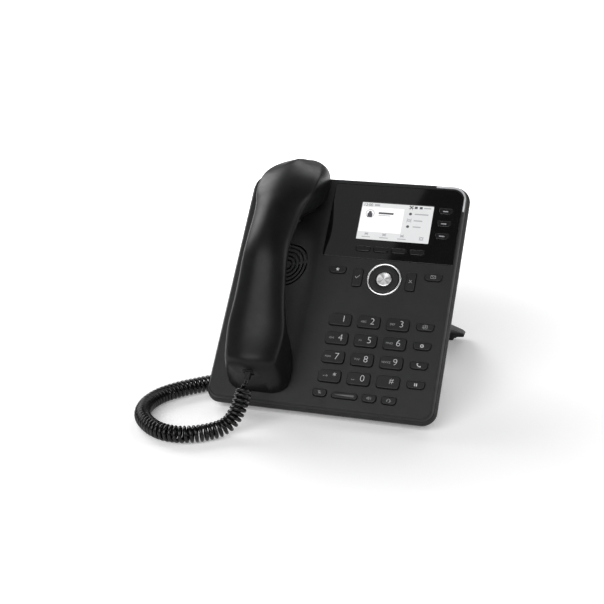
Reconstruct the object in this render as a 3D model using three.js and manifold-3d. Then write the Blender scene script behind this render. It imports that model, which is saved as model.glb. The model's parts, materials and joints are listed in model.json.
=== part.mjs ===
// Desk IP phone on a rear stand, with a curly-cord handset on the left of its face.
// Millimetres, +Z up. The caller looks along +Y, with +X to the right.
// The console frame is the face plane: x across from the centre line, y up the face from its
// bottom edge, z out of the face. The desk frame is the console frame before its tilt.
import * as THREE from 'three';
import { mergeVertices } from 'three/addons/utils/BufferGeometryUtils.js';
import Module from 'manifold-3d';

const wasm = await Module();
wasm.setup();

// ---- driving dimensions ----
const FACE_TILT = THREE.MathUtils.degToRad(46);
const FACE_WIDTH = 188.5;
const FACE_HEIGHT = 209.2;
const FACE_RADIUS_BOTTOM = 9;
const FACE_RADIUS_TOP = 12;
const SMALLEST_RADIUS = 3;
const DESK_DROP = 14;
const DEPTH_CENTRE = 94.1245;
const WALL = 2.2;
const GAP = 0.3;
const CORNER_STEPS = 4;
const KEY_CORNER_STEPS = 2;

// Rims of the two housings as [z, outset from the face outline].
const FRONT_LEVELS = [[-4.1, 1.0], [-1.2, 0.3], [0, -0.9]];
const REAR_LEVELS = [[-32, -14], [-24, -6], [-14, 0.4], [-8.4, 3.3], [-6.2, 2.8], [-4.4, 1.2]];
const REAR_CAVITY_LEVELS = [[-29.8, -15.4], [-22.8, -8], [-13.4, -1.8], [-8.2, 1.1], [-4, -1]];
const BACK_Z = -32;

// Cradle and handset.
const HANDSET_X = -52.25;
const CRADLE = { bottom: 10, top: 206, halfWidth: 30.5, fade: 26, depth: 8 };
const HANDSET_BOTTOM = 7;
const HANDSET_TOP = 225;
const HANDSET_WALL = 2;
const INNER_MARGIN = 1.5;
const CRADLE_CLEARANCE = 1.1;
const SEAM_GAP = 0.8;
const LEAN_START = 3;
const END_ROUNDING = 0.97;
const TIP_ROLL = 7;
const MOUTH_DRAFT = 3.8;
const EAR_START = 202;
const PLUG_Z = 30;
const TAB = { y: 203, width: 10, height: 5, stemWidth: 7, stemHeight: 2.4 };

// Keys.
const DIAL_PITCH = { x: 24.4, y: 16.7 };
const DIAL_ORIGIN = { x: 6.55, y: 77.6 };
const NAV = { x: 37, y: 117.2, ring: 14.6, disc: 12.5, button: 6.4 };
const DISPLAY = { x: 37.4, y: 171.1, width: 62, height: 35 };
const FASCIA = { left: -20, bottom: 135.2, right: 92.3, top: 205.2, radii: [2, 2, 10, 2] };
const FASCIA_THICKNESS = 1.4;
const LIGHT = { startX: 68, endY: 186, topInset: 2.3, sideInset: 1.1 };
const KEY_FOOT_Z = -3.4;
const KEY_FLANGE_Z = -2.5;
const KEY_FLANGE = 0.8;
const ROCKER_SINK = 0.5;

// Speaker, boards and jacks.
const SPEAKER = { x: -52.25, y: 127, slots: [4.4, 8.2, 12, 15.8, 19.4] };
const RECESS = { left: -62, right: 62, bottom: 28, top: 60, floor: -18 };
const JACK_Z = [-29.3, -18.3];

const HALF_WIDTH = FACE_WIDTH / 2;
const FACE_CENTRE_Y = FACE_HEIGHT / 2;

// ---- outlines in a plane ----
function arc(x, y, radius, startDegrees, endDegrees, steps) {
  const points = [];
  for (let i = 0; i <= steps; i += 1) {
    const angle = THREE.MathUtils.degToRad(THREE.MathUtils.lerp(startDegrees, endDegrees, i / steps));
    points.push(new THREE.Vector2(x + radius * Math.cos(angle), y + radius * Math.sin(angle)));
  }
  return points;
}

// Radii run bottom left, bottom right, top right, top left.
function roundedRect(x, y, width, height, radii, steps = CORNER_STEPS) {
  const [bottomLeft, bottomRight, topRight, topLeft] = Array.isArray(radii) ? radii : Array(4).fill(radii);
  const halfWidth = width / 2;
  const halfHeight = height / 2;
  return [
    ...arc(x - halfWidth + bottomLeft, y - halfHeight + bottomLeft, bottomLeft, 180, 270, steps),
    ...arc(x + halfWidth - bottomRight, y - halfHeight + bottomRight, bottomRight, 270, 360, steps),
    ...arc(x + halfWidth - topRight, y + halfHeight - topRight, topRight, 0, 90, steps),
    ...arc(x - halfWidth + topLeft, y + halfHeight - topLeft, topLeft, 90, 180, steps),
  ];
}

function circle(x, y, radius, steps = 32) {
  return arc(x, y, radius, 0, 360, steps).slice(0, -1);
}

function offsetOutline(outline, distance) {
  return outline.map((point, i) => {
    const before = outline[(i + outline.length - 1) % outline.length];
    const after = outline[(i + 1) % outline.length];
    const a = point.clone().sub(before).normalize();
    const b = after.clone().sub(point).normalize();
    const normal = new THREE.Vector2(a.y + b.y, -a.x - b.x).normalize();
    const mitre = Math.max(0.5, normal.dot(new THREE.Vector2(a.y, -a.x)));
    return point.clone().addScaledVector(normal, distance / mitre);
  });
}

function faceOutline(outset) {
  const bottom = Math.max(SMALLEST_RADIUS, FACE_RADIUS_BOTTOM + outset);
  const top = Math.max(SMALLEST_RADIUS, FACE_RADIUS_TOP + outset);
  const radii = [bottom, bottom, top, top];
  return roundedRect(0, FACE_CENTRE_Y, FACE_WIDTH + 2 * outset, FACE_HEIGHT + 2 * outset, radii, 6);
}

// ---- closed bodies ----
function geometryOf(vertices, triangles) {
  const geometry = new THREE.BufferGeometry();
  geometry.setAttribute('position', new THREE.Float32BufferAttribute(vertices, 3));
  geometry.setIndex(triangles);
  return geometry;
}

// Joins rings of equal length, each counterclockwise seen from the next one, and caps both ends.
function loft(rings, flatten = (point) => new THREE.Vector2(point.x, point.y)) {
  const count = rings[0].length;
  const vertices = rings.flat().flatMap((point) => [point.x, point.y, point.z]);
  const triangles = [];
  for (let ring = 0; ring < rings.length - 1; ring += 1) {
    for (let i = 0; i < count; i += 1) {
      const a = ring * count + i;
      const b = ring * count + ((i + 1) % count);
      triangles.push(a, b, b + count, a, b + count, a + count);
    }
  }
  const last = (rings.length - 1) * count;
  for (const [a, b, c] of THREE.ShapeUtils.triangulateShape(rings[0].map(flatten), [])) {
    triangles.push(a, c, b);
  }
  for (const [a, b, c] of THREE.ShapeUtils.triangulateShape(rings.at(-1).map(flatten), [])) {
    triangles.push(last + a, last + b, last + c);
  }
  return geometryOf(vertices, triangles);
}

function atHeight(outline, z) {
  return outline.map((point) => new THREE.Vector3(point.x, point.y, z));
}

// Stacks offsets of one outline, given as [z, outset] from the lowest up.
function stack(outline, levels) {
  return loft(levels.map(([z, outset]) => atHeight(outset ? offsetOutline(outline, outset) : outline, z)));
}

function faceStack(levels) {
  return loft(levels.map(([z, outset]) => atHeight(faceOutline(outset), z)));
}

function slab(outline, low, high) {
  return stack(outline, [[low, 0], [high, 0]]);
}

function block(left, right, bottom, top, low, high) {
  const geometry = new THREE.BoxGeometry(right - left, top - bottom, high - low);
  return geometry.translate((left + right) / 2, (bottom + top) / 2, (low + high) / 2);
}

// A sheet between two height functions over a rectangle.
function heightSheet(x0, x1, y0, y1, columns, rows, top, bottom) {
  const vertices = [];
  for (const surface of [top, bottom]) {
    for (let row = 0; row <= rows; row += 1) {
      for (let column = 0; column <= columns; column += 1) {
        const x = THREE.MathUtils.lerp(x0, x1, column / columns);
        const y = THREE.MathUtils.lerp(y0, y1, row / rows);
        vertices.push(x, y, surface(x, y));
      }
    }
  }
  const stride = columns + 1;
  const layer = stride * (rows + 1);
  const triangles = [];
  const quad = (a, b, c, d) => triangles.push(a, b, c, a, c, d);
  for (let row = 0; row < rows; row += 1) {
    for (let column = 0; column < columns; column += 1) {
      const a = row * stride + column;
      quad(a, a + 1, a + stride + 1, a + stride);
      quad(layer + a, layer + a + stride, layer + a + stride + 1, layer + a + 1);
    }
  }
  for (let column = 0; column < columns; column += 1) {
    const far = rows * stride + column;
    quad(layer + column, layer + column + 1, column + 1, column);
    quad(far, far + 1, layer + far + 1, layer + far);
  }
  for (let row = 0; row < rows; row += 1) {
    const left = row * stride;
    const right = left + columns;
    quad(left, left + stride, layer + left + stride, layer + left);
    quad(right, layer + right, layer + right + stride, right + stride);
  }
  return geometryOf(vertices, triangles);
}

// ---- joining and cutting ----
function toSolid(geometry) {
  if (geometry instanceof wasm.Manifold) return geometry;
  const bare = new THREE.BufferGeometry();
  bare.setAttribute('position', geometry.getAttribute('position').clone());
  bare.setIndex(geometry.getIndex() ? Array.from(geometry.getIndex().array) : null);
  const merged = mergeVertices(bare, 1e-4);
  const mesh = new wasm.Mesh({
    numProp: 3,
    vertProperties: new Float32Array(merged.getAttribute('position').array),
    triVerts: new Uint32Array(merged.getIndex().array),
  });
  return new wasm.Manifold(mesh);
}

function toGeometry(solid) {
  const mesh = solid.getMesh();
  return geometryOf(Array.from(mesh.vertProperties), Array.from(mesh.triVerts));
}

function cut(body, ...tools) {
  return tools.reduce((solid, tool) => solid.subtract(toSolid(tool)), toSolid(body));
}

function unite(body, ...others) {
  return others.reduce((solid, other) => solid.add(toSolid(other)), toSolid(body));
}

function common(body, other) {
  return toSolid(body).intersect(toSolid(other));
}

// ---- materials ----
function finish(color, roughness, metalness = 0) {
  return { color, roughness, metalness };
}

const FINISHES = {
  housing: finish(0x2b2b2c, 0.62),
  gloss: finish(0x0b0b0c, 0.12),
  key: finish(0x303031, 0.5),
  glossKey: finish(0x121213, 0.25),
  chrome: finish(0xd8d8da, 0.15, 1),
  screen: finish(0xe9edf2, 0.3),
  light: finish(0xc9cbcd, 0.35),
  handset: finish(0x1c1c1d, 0.35),
  rubber: finish(0x101010, 0.9),
  board: finish(0x1d5b3a, 0.6),
  silicone: finish(0x6f7275, 0.7),
  cone: finish(0x3a3a3a, 0.7),
  socket: finish(0x202022, 0.55),
  cord: finish(0x0d0d0e, 0.3),
  clear: finish(0xc7ccd2, 0.2),
};

function piece(name, shape, look) {
  const geometry = shape instanceof wasm.Manifold ? toGeometry(shape) : shape;
  geometry.computeVertexNormals();
  const mesh = new THREE.Mesh(geometry, new THREE.MeshStandardMaterial(FINISHES[look]));
  mesh.name = name;
  return mesh;
}

const phone = new THREE.Group();
phone.position.set(0, -DEPTH_CENTRE, DESK_DROP);
const consoleFrame = new THREE.Group();
consoleFrame.rotation.x = FACE_TILT;
phone.add(consoleFrame);

// ---- keys: rounded caps with a flange under the housing ----
const DIAL_NAMES = ['1', '2', '3', '4', '5', '6', '7', '8', '9', 'star', '0', 'hash'];
const keys = DIAL_NAMES.map((label, i) => ({
  name: `key_${label}`,
  outline: roundedRect(
    DIAL_ORIGIN.x + (i % 3) * DIAL_PITCH.x,
    DIAL_ORIGIN.y - Math.floor(i / 3) * DIAL_PITCH.y,
    18.6, 10.8, 2.5, KEY_CORNER_STEPS,
  ),
  rise: 1.7,
}));

function addKey(name, x, y, width, height, radii, rise = 1.4, look = 'key', sink = 0) {
  keys.push({ name, outline: roundedRect(x, y, width, height, radii, KEY_CORNER_STEPS), rise, look, sink });
}

['directory_key', 'settings_key', 'transfer_key', 'hold_key'].forEach((name, i) => {
  addKey(name, 78.05, 77.75 - i * DIAL_PITCH.y, 14.2, 6.2, [3, 3, 1.2, 1.2]);
});
addKey('mute_key', 0.95, 12.4, 11.2, 6.2, [2.6, 2.6, 1.2, 1.2]);
addKey('volume_rocker', 21.75, 12, 21.2, 5, 2.2, 1.4, 'key', ROCKER_SINK);
addKey('speaker_key', 42.25, 12, 11.2, 6.2, [2.6, 2.6, 1.2, 1.2]);
addKey('headset_key', 58.45, 12, 11.8, 6.2, [2.6, 2.6, 1.2, 1.2]);
addKey('favourites_key', NAV.x - 41, 122.6, 14, 6.4, [3, 3, 1.2, 1.2]);
addKey('message_key', NAV.x + 41, 122.6, 14, 6.4, [3, 3, 1.2, 1.2]);
addKey('confirm_key', NAV.x - 22.7, 117, 7.8, 16.6, [1.2, 2.4, 2.4, 1.2]);
addKey('cancel_key', NAV.x + 22.7, 117, 7.8, 16.6, [2.4, 1.2, 1.2, 2.4]);
for (let i = 0; i < 4; i += 1) {
  addKey(`soft_key_${i + 1}`, 14.35 + 15.4 * i, 144, 12, 4.4, [2, 2, 0.9, 0.9], 0.9, 'glossKey');
}
for (let i = 0; i < 3; i += 1) {
  addKey(`line_key_${i + 1}`, 79.35, 184.3 - 11.74 * i, 11, 5, [2.2, 2.2, 1, 1], 0.9, 'glossKey');
}

for (const { name, outline, rise, look, sink = 0 } of keys) {
  const levels = [
    [KEY_FOOT_Z - sink, KEY_FLANGE],
    [KEY_FLANGE_Z - sink, KEY_FLANGE],
    [KEY_FLANGE_Z - sink + 0.05, 0],
    [rise - 0.5, 0],
    [rise, -0.5],
  ];
  consoleFrame.add(piece(name, stack(outline, levels), look ?? 'key'));
}

// ---- navigation cluster ----
function washer(inner, outer, low, high, edge, segments = 32) {
  const profile = [
    new THREE.Vector2(inner, low),
    new THREE.Vector2(outer, low),
    new THREE.Vector2(outer, high - edge),
    new THREE.Vector2(outer - edge, high),
    new THREE.Vector2(inner + edge, high),
    new THREE.Vector2(inner, high - edge),
    new THREE.Vector2(inner, low),
  ];
  return new THREE.LatheGeometry(profile, segments).rotateX(Math.PI / 2);
}

function disc(radius, low, high, edge, segments = 28) {
  const profile = [
    new THREE.Vector2(0, low),
    new THREE.Vector2(radius, low),
    new THREE.Vector2(radius, high - edge),
    new THREE.Vector2(radius - edge, high),
    new THREE.Vector2(0, high),
  ];
  return new THREE.LatheGeometry(profile, segments).rotateX(Math.PI / 2);
}

const navPieces = [
  piece('nav_ring', washer(NAV.disc + 0.4, NAV.ring, -1.9, 1.2, 0.4), 'chrome'),
  piece('nav_key', washer(NAV.button + 0.5, NAV.disc, -2.2, 0.9, 0.5), 'key'),
  piece('nav_rocker', washer(NAV.button + 0.6, 10.4, -4.1, -3.1, 0.2, 24), 'silicone'),
  piece('ok_button', disc(NAV.button, -2.2, 1.3, 0.6), 'chrome'),
];
for (const mesh of navPieces) {
  mesh.position.set(NAV.x, NAV.y, 0);
  consoleFrame.add(mesh);
}

// ---- display: glossy fascia, screen module and message light ----
function fasciaRect(outset) {
  return roundedRect(
    (FASCIA.left + FASCIA.right) / 2,
    (FASCIA.bottom + FASCIA.top) / 2,
    FASCIA.right - FASCIA.left + 2 * outset,
    FASCIA.top - FASCIA.bottom + 2 * outset,
    FASCIA.radii.map((radius) => Math.max(1, radius + outset)),
  );
}
const windowOutline = roundedRect(DISPLAY.x, DISPLAY.y, DISPLAY.width + 0.6, DISPLAY.height + 0.6, 0.6, 1);
const fasciaKeyHoles = keys
  .filter(({ look }) => look === 'glossKey')
  .map(({ outline }) => slab(offsetOutline(outline, GAP), -6, 2));
consoleFrame.add(piece('display_fascia', cut(
  slab(fasciaRect(0), -FASCIA_THICKNESS, 0),
  slab(windowOutline, -6, 2),
  ...fasciaKeyHoles,
), 'gloss'));

const screenOutline = roundedRect(DISPLAY.x, DISPLAY.y, DISPLAY.width, DISPLAY.height, 0.4, 1);
const moduleTray = block(DISPLAY.x - 36, DISPLAY.x + 34, DISPLAY.y - 20, DISPLAY.y + 21, -5.8, -2.6);
consoleFrame.add(piece('lcd_module', unite(moduleTray, slab(screenOutline, -3, -0.35)), 'screen'));

// The light guide is the housing's own outer edge over the top right corner.
function edgeStrip(grow, low) {
  const cornerX = HALF_WIDTH - FACE_RADIUS_TOP;
  const cornerY = FACE_HEIGHT - FACE_RADIUS_TOP;
  const outer = FACE_RADIUS_TOP + 3;
  const innerX = FACE_RADIUS_TOP - LIGHT.sideInset - grow;
  const innerY = FACE_RADIUS_TOP - LIGHT.topInset - grow;
  const innerCorner = arc(0, 0, 1, 90, 0, 6).map((point) => (
    new THREE.Vector2(cornerX + innerX * point.x, cornerY + innerY * point.y)
  ));
  const outline = [
    new THREE.Vector2(cornerX + innerX, LIGHT.endY - grow),
    new THREE.Vector2(cornerX + outer, LIGHT.endY - grow),
    ...arc(cornerX, cornerY, outer, 0, 90, 6),
    new THREE.Vector2(LIGHT.startX - grow, cornerY + outer),
    new THREE.Vector2(LIGHT.startX - grow, cornerY + innerY),
    ...innerCorner,
  ];
  return slab(outline, low - grow, 3);
}

const frontOuter = faceStack(FRONT_LEVELS);
const lightStrip = edgeStrip(0, -1.2);
const lightPocket = edgeStrip(GAP, -1.2);
consoleFrame.add(piece('message_light', common(frontOuter, lightStrip), 'light'));

// ---- front housing with its cradle, key holes and speaker slots ----
function smooth(t) {
  return THREE.MathUtils.smoothstep(t, 0, 1);
}

function cradleDepth(x, y) {
  const across = Math.min(1, Math.abs(x - HANDSET_X) / CRADLE.halfWidth);
  const along = smooth((y - CRADLE.bottom) / CRADLE.fade) * smooth((CRADLE.top - y) / CRADLE.fade);
  return CRADLE.depth * Math.cos((Math.PI / 2) * across) ** 2 * along;
}

const cradleSpan = [
  HANDSET_X - CRADLE.halfWidth,
  HANDSET_X + CRADLE.halfWidth,
  CRADLE.bottom,
  CRADLE.top,
  12,
  20,
];
const cradleSurface = (x, y) => -cradleDepth(x, y);
const cradleUnderside = (x, y) => -cradleDepth(x, y) - WALL;
const cradleCut = heightSheet(...cradleSpan, () => 2, cradleSurface);
const cradleFloor = heightSheet(...cradleSpan, cradleSurface, cradleUnderside);

const skirtCavity = faceStack([[-6, -0.8], [-WALL, -1.6]]);
const fasciaPocket = slab(fasciaRect(GAP), -FASCIA_THICKNESS - GAP, 2);
const fasciaOpening = slab(fasciaRect(-2.4), -6, 2);
const keyHoles = keys
  .filter(({ look }) => look !== 'glossKey')
  .map(({ outline }) => slab(offsetOutline(outline, GAP), -6, 2));
const navHole = slab(circle(NAV.x, NAV.y, NAV.ring + GAP), -6, 2);
const plungerOutline = roundedRect(HANDSET_X, 172, 10, 6, 2, 2);
const plungerHole = slab(offsetOutline(plungerOutline, GAP), -14, 2);
const tabStemOutline = roundedRect(HANDSET_X, TAB.y, TAB.stemWidth, TAB.stemHeight, 0.5, 1);
const tabHole = slab(offsetOutline(tabStemOutline, GAP), -6, 2);

function speakerSlots() {
  const slots = [];
  for (const radius of SPEAKER.slots) {
    for (const start of [9, 189]) {
      const outer = arc(SPEAKER.x, SPEAKER.y, radius + 0.8, start, start + 172, 10);
      const inner = arc(SPEAKER.x, SPEAKER.y, radius - 0.8, start + 172, start, 10);
      slots.push(slab([...outer, ...inner], -14, 2));
    }
  }
  return slots;
}

let frontHousing = cut(frontOuter, skirtCavity, cradleCut);
frontHousing = unite(frontHousing, cradleFloor);
frontHousing = cut(
  frontHousing,
  lightPocket,
  fasciaPocket,
  fasciaOpening,
  navHole,
  plungerHole,
  tabHole,
  ...keyHoles,
  ...speakerSlots(),
);
consoleFrame.add(piece('front_housing', frontHousing, 'housing'));

// ---- rear housing: a pan with a jack recess, vents and stand slots ----
const recessTub = block(RECESS.left - WALL, RECESS.right + WALL, RECESS.bottom - WALL, RECESS.top + WALL,
  -40, RECESS.floor + WALL);
const recess = block(RECESS.left, RECESS.right, RECESS.bottom, RECESS.top, -40, RECESS.floor);
const NETWORK_JACKS = { left: -2, right: 36 };
const HANDSET_JACKS = { left: -56, right: -30 };
const jackPorts = [NETWORK_JACKS, HANDSET_JACKS].map(({ left, right }) => block(
  left - GAP, right + GAP, RECESS.top - 1, RECESS.top + WALL + 1, JACK_Z[0] - GAP, JACK_Z[1] + GAP,
));
const vents = [];
for (let i = 0; i < 9; i += 1) {
  const x = -24 + 6 * i;
  vents.push(block(x - 1.2, x + 1.2, 140, 168, -36, -26));
}
const HOOK_XS = [-44, 44];
const standSlots = HOOK_XS.map((x) => block(x - 7.5, x + 7.5, 101, 107, -36, -26));
const rearCavity = cut(faceStack(REAR_CAVITY_LEVELS), recessTub);
consoleFrame.add(piece('rear_housing', cut(
  faceStack(REAR_LEVELS),
  rearCavity,
  recess,
  ...jackPorts,
  ...vents,
  ...standSlots,
), 'housing'));

// ---- inside: key mat, main board, loudspeaker and jacks ----
consoleFrame.add(piece('key_mat', slab(roundedRect(40, 70, 100, 136, 3, 2), -5.9, -4.8), 'silicone'));
consoleFrame.add(piece('main_board', slab(roundedRect(38, 106, 104, 190, 3, 2), -8, -6.4), 'board'));

const loudspeakerProfile = [
  [0, -22], [9, -22], [9, -17], [17, -15], [20, -13.5], [20, -11.6], [18, -11.6], [0, -15.5],
].map(([radius, z]) => new THREE.Vector2(radius, z));
const loudspeaker = new THREE.LatheGeometry(loudspeakerProfile, 24);
loudspeaker.rotateX(Math.PI / 2).translate(SPEAKER.x, SPEAKER.y, 0);
consoleFrame.add(piece('loudspeaker', loudspeaker, 'cone'));

function jackBlock({ left, right }, depth, sockets, socketWidth, socketHeight) {
  const bottom = RECESS.top + 0.2;
  const pitch = (right - left) / sockets;
  const middle = (JACK_Z[0] + JACK_Z[1]) / 2;
  const holes = [];
  for (let i = 0; i < sockets; i += 1) {
    const x = left + pitch * (i + 0.5);
    holes.push(block(x - socketWidth / 2, x + socketWidth / 2, bottom - 1, bottom + depth - 2,
      middle - socketHeight / 2, middle + socketHeight / 2));
  }
  return cut(block(left, right, bottom, bottom + depth, ...JACK_Z), ...holes);
}

consoleFrame.add(piece('network_jacks', jackBlock(NETWORK_JACKS, 17, 2, 12, 8.4), 'socket'));
consoleFrame.add(piece('handset_jacks', jackBlock(HANDSET_JACKS, 14, 2, 8.4, 7.2), 'socket'));

// ---- hook switch plunger and handset retaining tab ----
const plungerLevels = [[-14.6, 1.2], [-13.6, 1.2], [-13.5, 0], [-8, 0], [-7.2, -0.8]];
consoleFrame.add(piece('hook_plunger', stack(plungerOutline, plungerLevels), 'socket'));
const tabOutline = roundedRect(HANDSET_X, TAB.y, TAB.width, TAB.height, 1, 2);
const tabHead = stack(tabOutline, [[0.3, 0], [1.6, 0], [2.2, -0.6]]);
consoleFrame.add(piece('cradle_tab', unite(tabHead, slab(tabStemOutline, -1.8, 1)), 'housing'));

// ---- handset: outer shell, inner shell with ear and mouth cups ----
// A smooth function through [position, value] pairs, flat at both ends.
function profile(points) {
  return (position) => {
    if (position <= points[0][0]) return points[0][1];
    if (position >= points.at(-1)[0]) return points.at(-1)[1];
    const next = points.findIndex(([start]) => start > position);
    const slope = (i) => {
      if (i === 0 || i === points.length - 1) return 0;
      return (points[i + 1][1] - points[i - 1][1]) / (points[i + 1][0] - points[i - 1][0]);
    };
    const [x0, y0] = points[next - 1];
    const [x1, y1] = points[next];
    const span = x1 - x0;
    const t = (position - x0) / span;
    const a = y0 * (1 + 2 * t) * (1 - t) ** 2 + slope(next - 1) * span * t * (1 - t) ** 2;
    const b = y1 * t * t * (3 - 2 * t) + slope(next) * span * t * t * (t - 1);
    return a + b;
  };
}

const waist = profile([[22, 26.9], [50, 25.7], [72, 22.5], [112, 20], [140, 20.6], [168, 22.8], [198, 27]]);
const ridge = profile([
  [7, 38], [46, 40], [78, 49], [111, 57.5], [154, 49.5], [184, 44.6], [199, 40.2], [207.8, 34.5],
  [215.3, 25.5], [220.5, 16], [225, 8],
]);
const crest = profile([
  [7, 43], [46, 45.5], [78, 54.5], [111, 63], [154, 57.2], [166.3, 54.9], [192.8, 51.5], [202.1, 47.2],
  [209.5, 42], [216.4, 35.8], [221, 31], [225, 25.8],
]);
const seam = profile([
  [26, 1.2], [40, 8], [54, 27], [70, 40], [111, 46.5], [142, 43], [158, 32], [172, 17], [190, 2.5],
]);
const belly = profile([
  [28, -9], [42, 0], [54, 16], [66, 27], [84, 33], [111, 35], [136, 33], [152, 24], [166, 10], [182, -9],
]);

// Half width with the plan rounding of both ends.
function halfWidth(y, inset) {
  const mouth = Math.max(0, (24 - y) / (24 - HANDSET_BOTTOM - inset));
  const ear = Math.max(0, (y - EAR_START) / (HANDSET_TOP - inset - EAR_START));
  const rounding = (t, power) => (1 - (END_ROUNDING * Math.min(1, t)) ** power) ** (1 / power);
  return (waist(y) - inset) * rounding(mouth, 3.1) * rounding(ear, 2.25);
}

// Ends lean: the mouth end face slopes inward going up, and the ear end more so.
function leaned(y, z) {
  const mouthLean = 0.22 * (1 - smooth((y - 10) / 50));
  const earLean = -0.5 * smooth((y - 150) / 50);
  return y + (mouthLean + earLean) * Math.max(0, z - LEAN_START);
}

// Heights up the face where the handset has a section, closest together at the ends.
const STATIONS = Array.from({ length: 27 }, (_, i) => {
  const t = i / 26;
  const eased = t - Math.sin(2 * Math.PI * t) / (2 * Math.PI) * 0.85;
  return THREE.MathUtils.lerp(HANDSET_BOTTOM, HANDSET_TOP, eased);
});

function stationsWithin(inset) {
  const within = STATIONS.filter((y) => y > HANDSET_BOTTOM + inset + 0.1 && y < HANDSET_TOP - inset - 0.1);
  return [HANDSET_BOTTOM + inset, ...within, HANDSET_TOP - inset];
}

// The drop of the crest as it turns down over either end.
function rollOff(y) {
  const near = Math.min(y - HANDSET_BOTTOM, HANDSET_TOP - y);
  if (near >= TIP_ROLL) return 0;
  return TIP_ROLL - Math.sqrt(Math.max(0, TIP_ROLL ** 2 - (TIP_ROLL - near) ** 2));
}

// Right half of the outer section from the crest down to the seam, as [x, z].
function outerHalf(y, inset) {
  const foot = halfWidth(y, inset);
  const fullness = foot / (waist(y) - inset);
  const half = foot - MOUTH_DRAFT * (1 - smooth((y - 12) / 45)) * fullness;
  const top = crest(y) - inset - rollOff(y);
  const edge = Math.min(top - 0.5, ridge(y) - inset * 0.5 - rollOff(y) * (y < 100 ? 1 : 0.25));
  const low = seam(y);
  const round = Math.min(5, half * 0.4);
  const points = [];
  for (const t of [0, 0.35, 0.7, 1]) {
    points.push([(half - round) * t, top - (top - edge) * t ** 2.2]);
  }
  points.push([half - round * 0.25, edge - round * 0.35]);
  points.push([half, Math.max(low + 0.6, edge - round * 1.1)]);
  const narrowing = Math.max(0, seam(y) - 6) * 0.09;
  points.push([foot - narrowing * fullness, low]);
  return points;
}

function mirrored(half, y) {
  const leftHalf = half.slice(1).reverse().map(([x, z]) => [-x, z]);
  return [...half, ...leftHalf].map(([x, z]) => new THREE.Vector3(HANDSET_X + x, leaned(y, z), z));
}

function outerBody(inset, deepen) {
  const rings = stationsWithin(inset).map((y) => {
    const half = outerHalf(y, inset);
    if (deepen) half.push([half.at(-1)[0], half.at(-1)[1] - deepen]);
    return mirrored(half, y);
  });
  return loft(rings, (point) => new THREE.Vector2(point.z, point.x));
}

const handsetSocket = block(HANDSET_X - 4.3, HANDSET_X + 4.3, 8, 24, PLUG_Z - 3.8, PLUG_Z + 3.8);
const outerShell = cut(outerBody(0, 0), outerBody(HANDSET_WALL, 12), handsetSocket);
consoleFrame.add(piece('handset_outer', outerShell, 'handset'));

// The inner shell closes the underside, and its two cups nest in the cradle.
function innerBody() {
  const rings = stationsWithin(INNER_MARGIN).map((y) => {
    const edge = seam(y) - SEAM_GAP;
    const reach = Math.max(0.5, outerHalf(y, 0).at(-1)[0] - 0.6);
    const points = [[0, edge], [reach, edge]];
    for (const t of [0.94, 0.78, 0.5, 0]) {
      const x = reach * t;
      const rounded = edge - (edge - belly(y)) * (1 - t ** 3);
      const floor = -cradleDepth(HANDSET_X + x, y) + CRADLE_CLEARANCE;
      points.push([x, Math.min(edge - 0.3, Math.max(rounded, floor))]);
    }
    const leftPart = points.slice(1, -1).reverse().map(([x, z]) => [-x, z]);
    return [...points, ...leftPart].map(([x, z]) => new THREE.Vector3(HANDSET_X + x, leaned(y, z), z));
  });
  return loft(rings, (point) => new THREE.Vector2(point.z, point.x));
}

const EAR_CUP = { y: 182, radius: 13.5 };
const MOUTH_CUP = { y: 33, radius: 8 };
const earPocket = slab(circle(HANDSET_X, EAR_CUP.y, EAR_CUP.radius, 20), -1, 30);
const mouthPocket = slab(circle(HANDSET_X, MOUTH_CUP.y, MOUTH_CUP.radius, 16), -1, 20);
const tabNotch = slab(roundedRect(HANDSET_X, TAB.y, TAB.width + 2, TAB.height + 2.4, 1, 2), -4, 3.2);
consoleFrame.add(piece('handset_inner', cut(innerBody(), earPocket, mouthPocket, tabNotch), 'handset'));
const receiver = slab(circle(HANDSET_X, EAR_CUP.y, EAR_CUP.radius - 1, 20), -0.6, 6);
const microphone = slab(circle(HANDSET_X, MOUTH_CUP.y, 5, 14), -0.6, 5);
consoleFrame.add(piece('receiver_capsule', receiver, 'cone'));
consoleFrame.add(piece('microphone_capsule', microphone, 'cone'));

// ---- feet and stand, in the desk frame ----
function deskFoot(name, x, y, width, depth, high) {
  const outline = roundedRect(x, y, width, depth, 2, 2);
  phone.add(piece(name, stack(outline, [[-DESK_DROP, -0.5], [-DESK_DROP + 0.5, 0], [high, 0]]), 'rubber'));
}

deskFoot('front_foot_left', -68, 27, 20, 9.6, -12.7);
deskFoot('front_foot_right', 68, 27, 20, 9.6, -12.7);
deskFoot('stand_foot_left', -70, 200.6, 16, 8, -11.3);
deskFoot('stand_foot_right', 70, 200.6, 16, 8, -11.3);

// A point on the rear housing's back plane, moved out of it by offset.
function backPoint(y, offset) {
  const z = BACK_Z - offset;
  return new THREE.Vector2(
    y * Math.cos(FACE_TILT) - z * Math.sin(FACE_TILT),
    y * Math.sin(FACE_TILT) + z * Math.cos(FACE_TILT),
  );
}

const STAND_PLATE = 3.4;
const sideProfile = [
  backPoint(88, GAP + 0.1),
  backPoint(88, STAND_PLATE),
  backPoint(99, STAND_PLATE + 1.5),
  new THREE.Vector2(196, -5.9),
  new THREE.Vector2(196, -11),
  new THREE.Vector2(204.6, -11),
  new THREE.Vector2(206.4, -9.4),
  new THREE.Vector2(204.9, -7),
  backPoint(107, STAND_PLATE + 4),
  backPoint(112, STAND_PLATE),
  backPoint(112, GAP + 0.1),
];
// The profile lies in the plane of y and z, and is swept across x.
function sweepAcross(outline, left, right) {
  const ring = (x) => outline.map((point) => new THREE.Vector3(x, point.x, point.y));
  return loft([ring(left), ring(right)], (point) => new THREE.Vector2(point.y, point.z));
}

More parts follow.
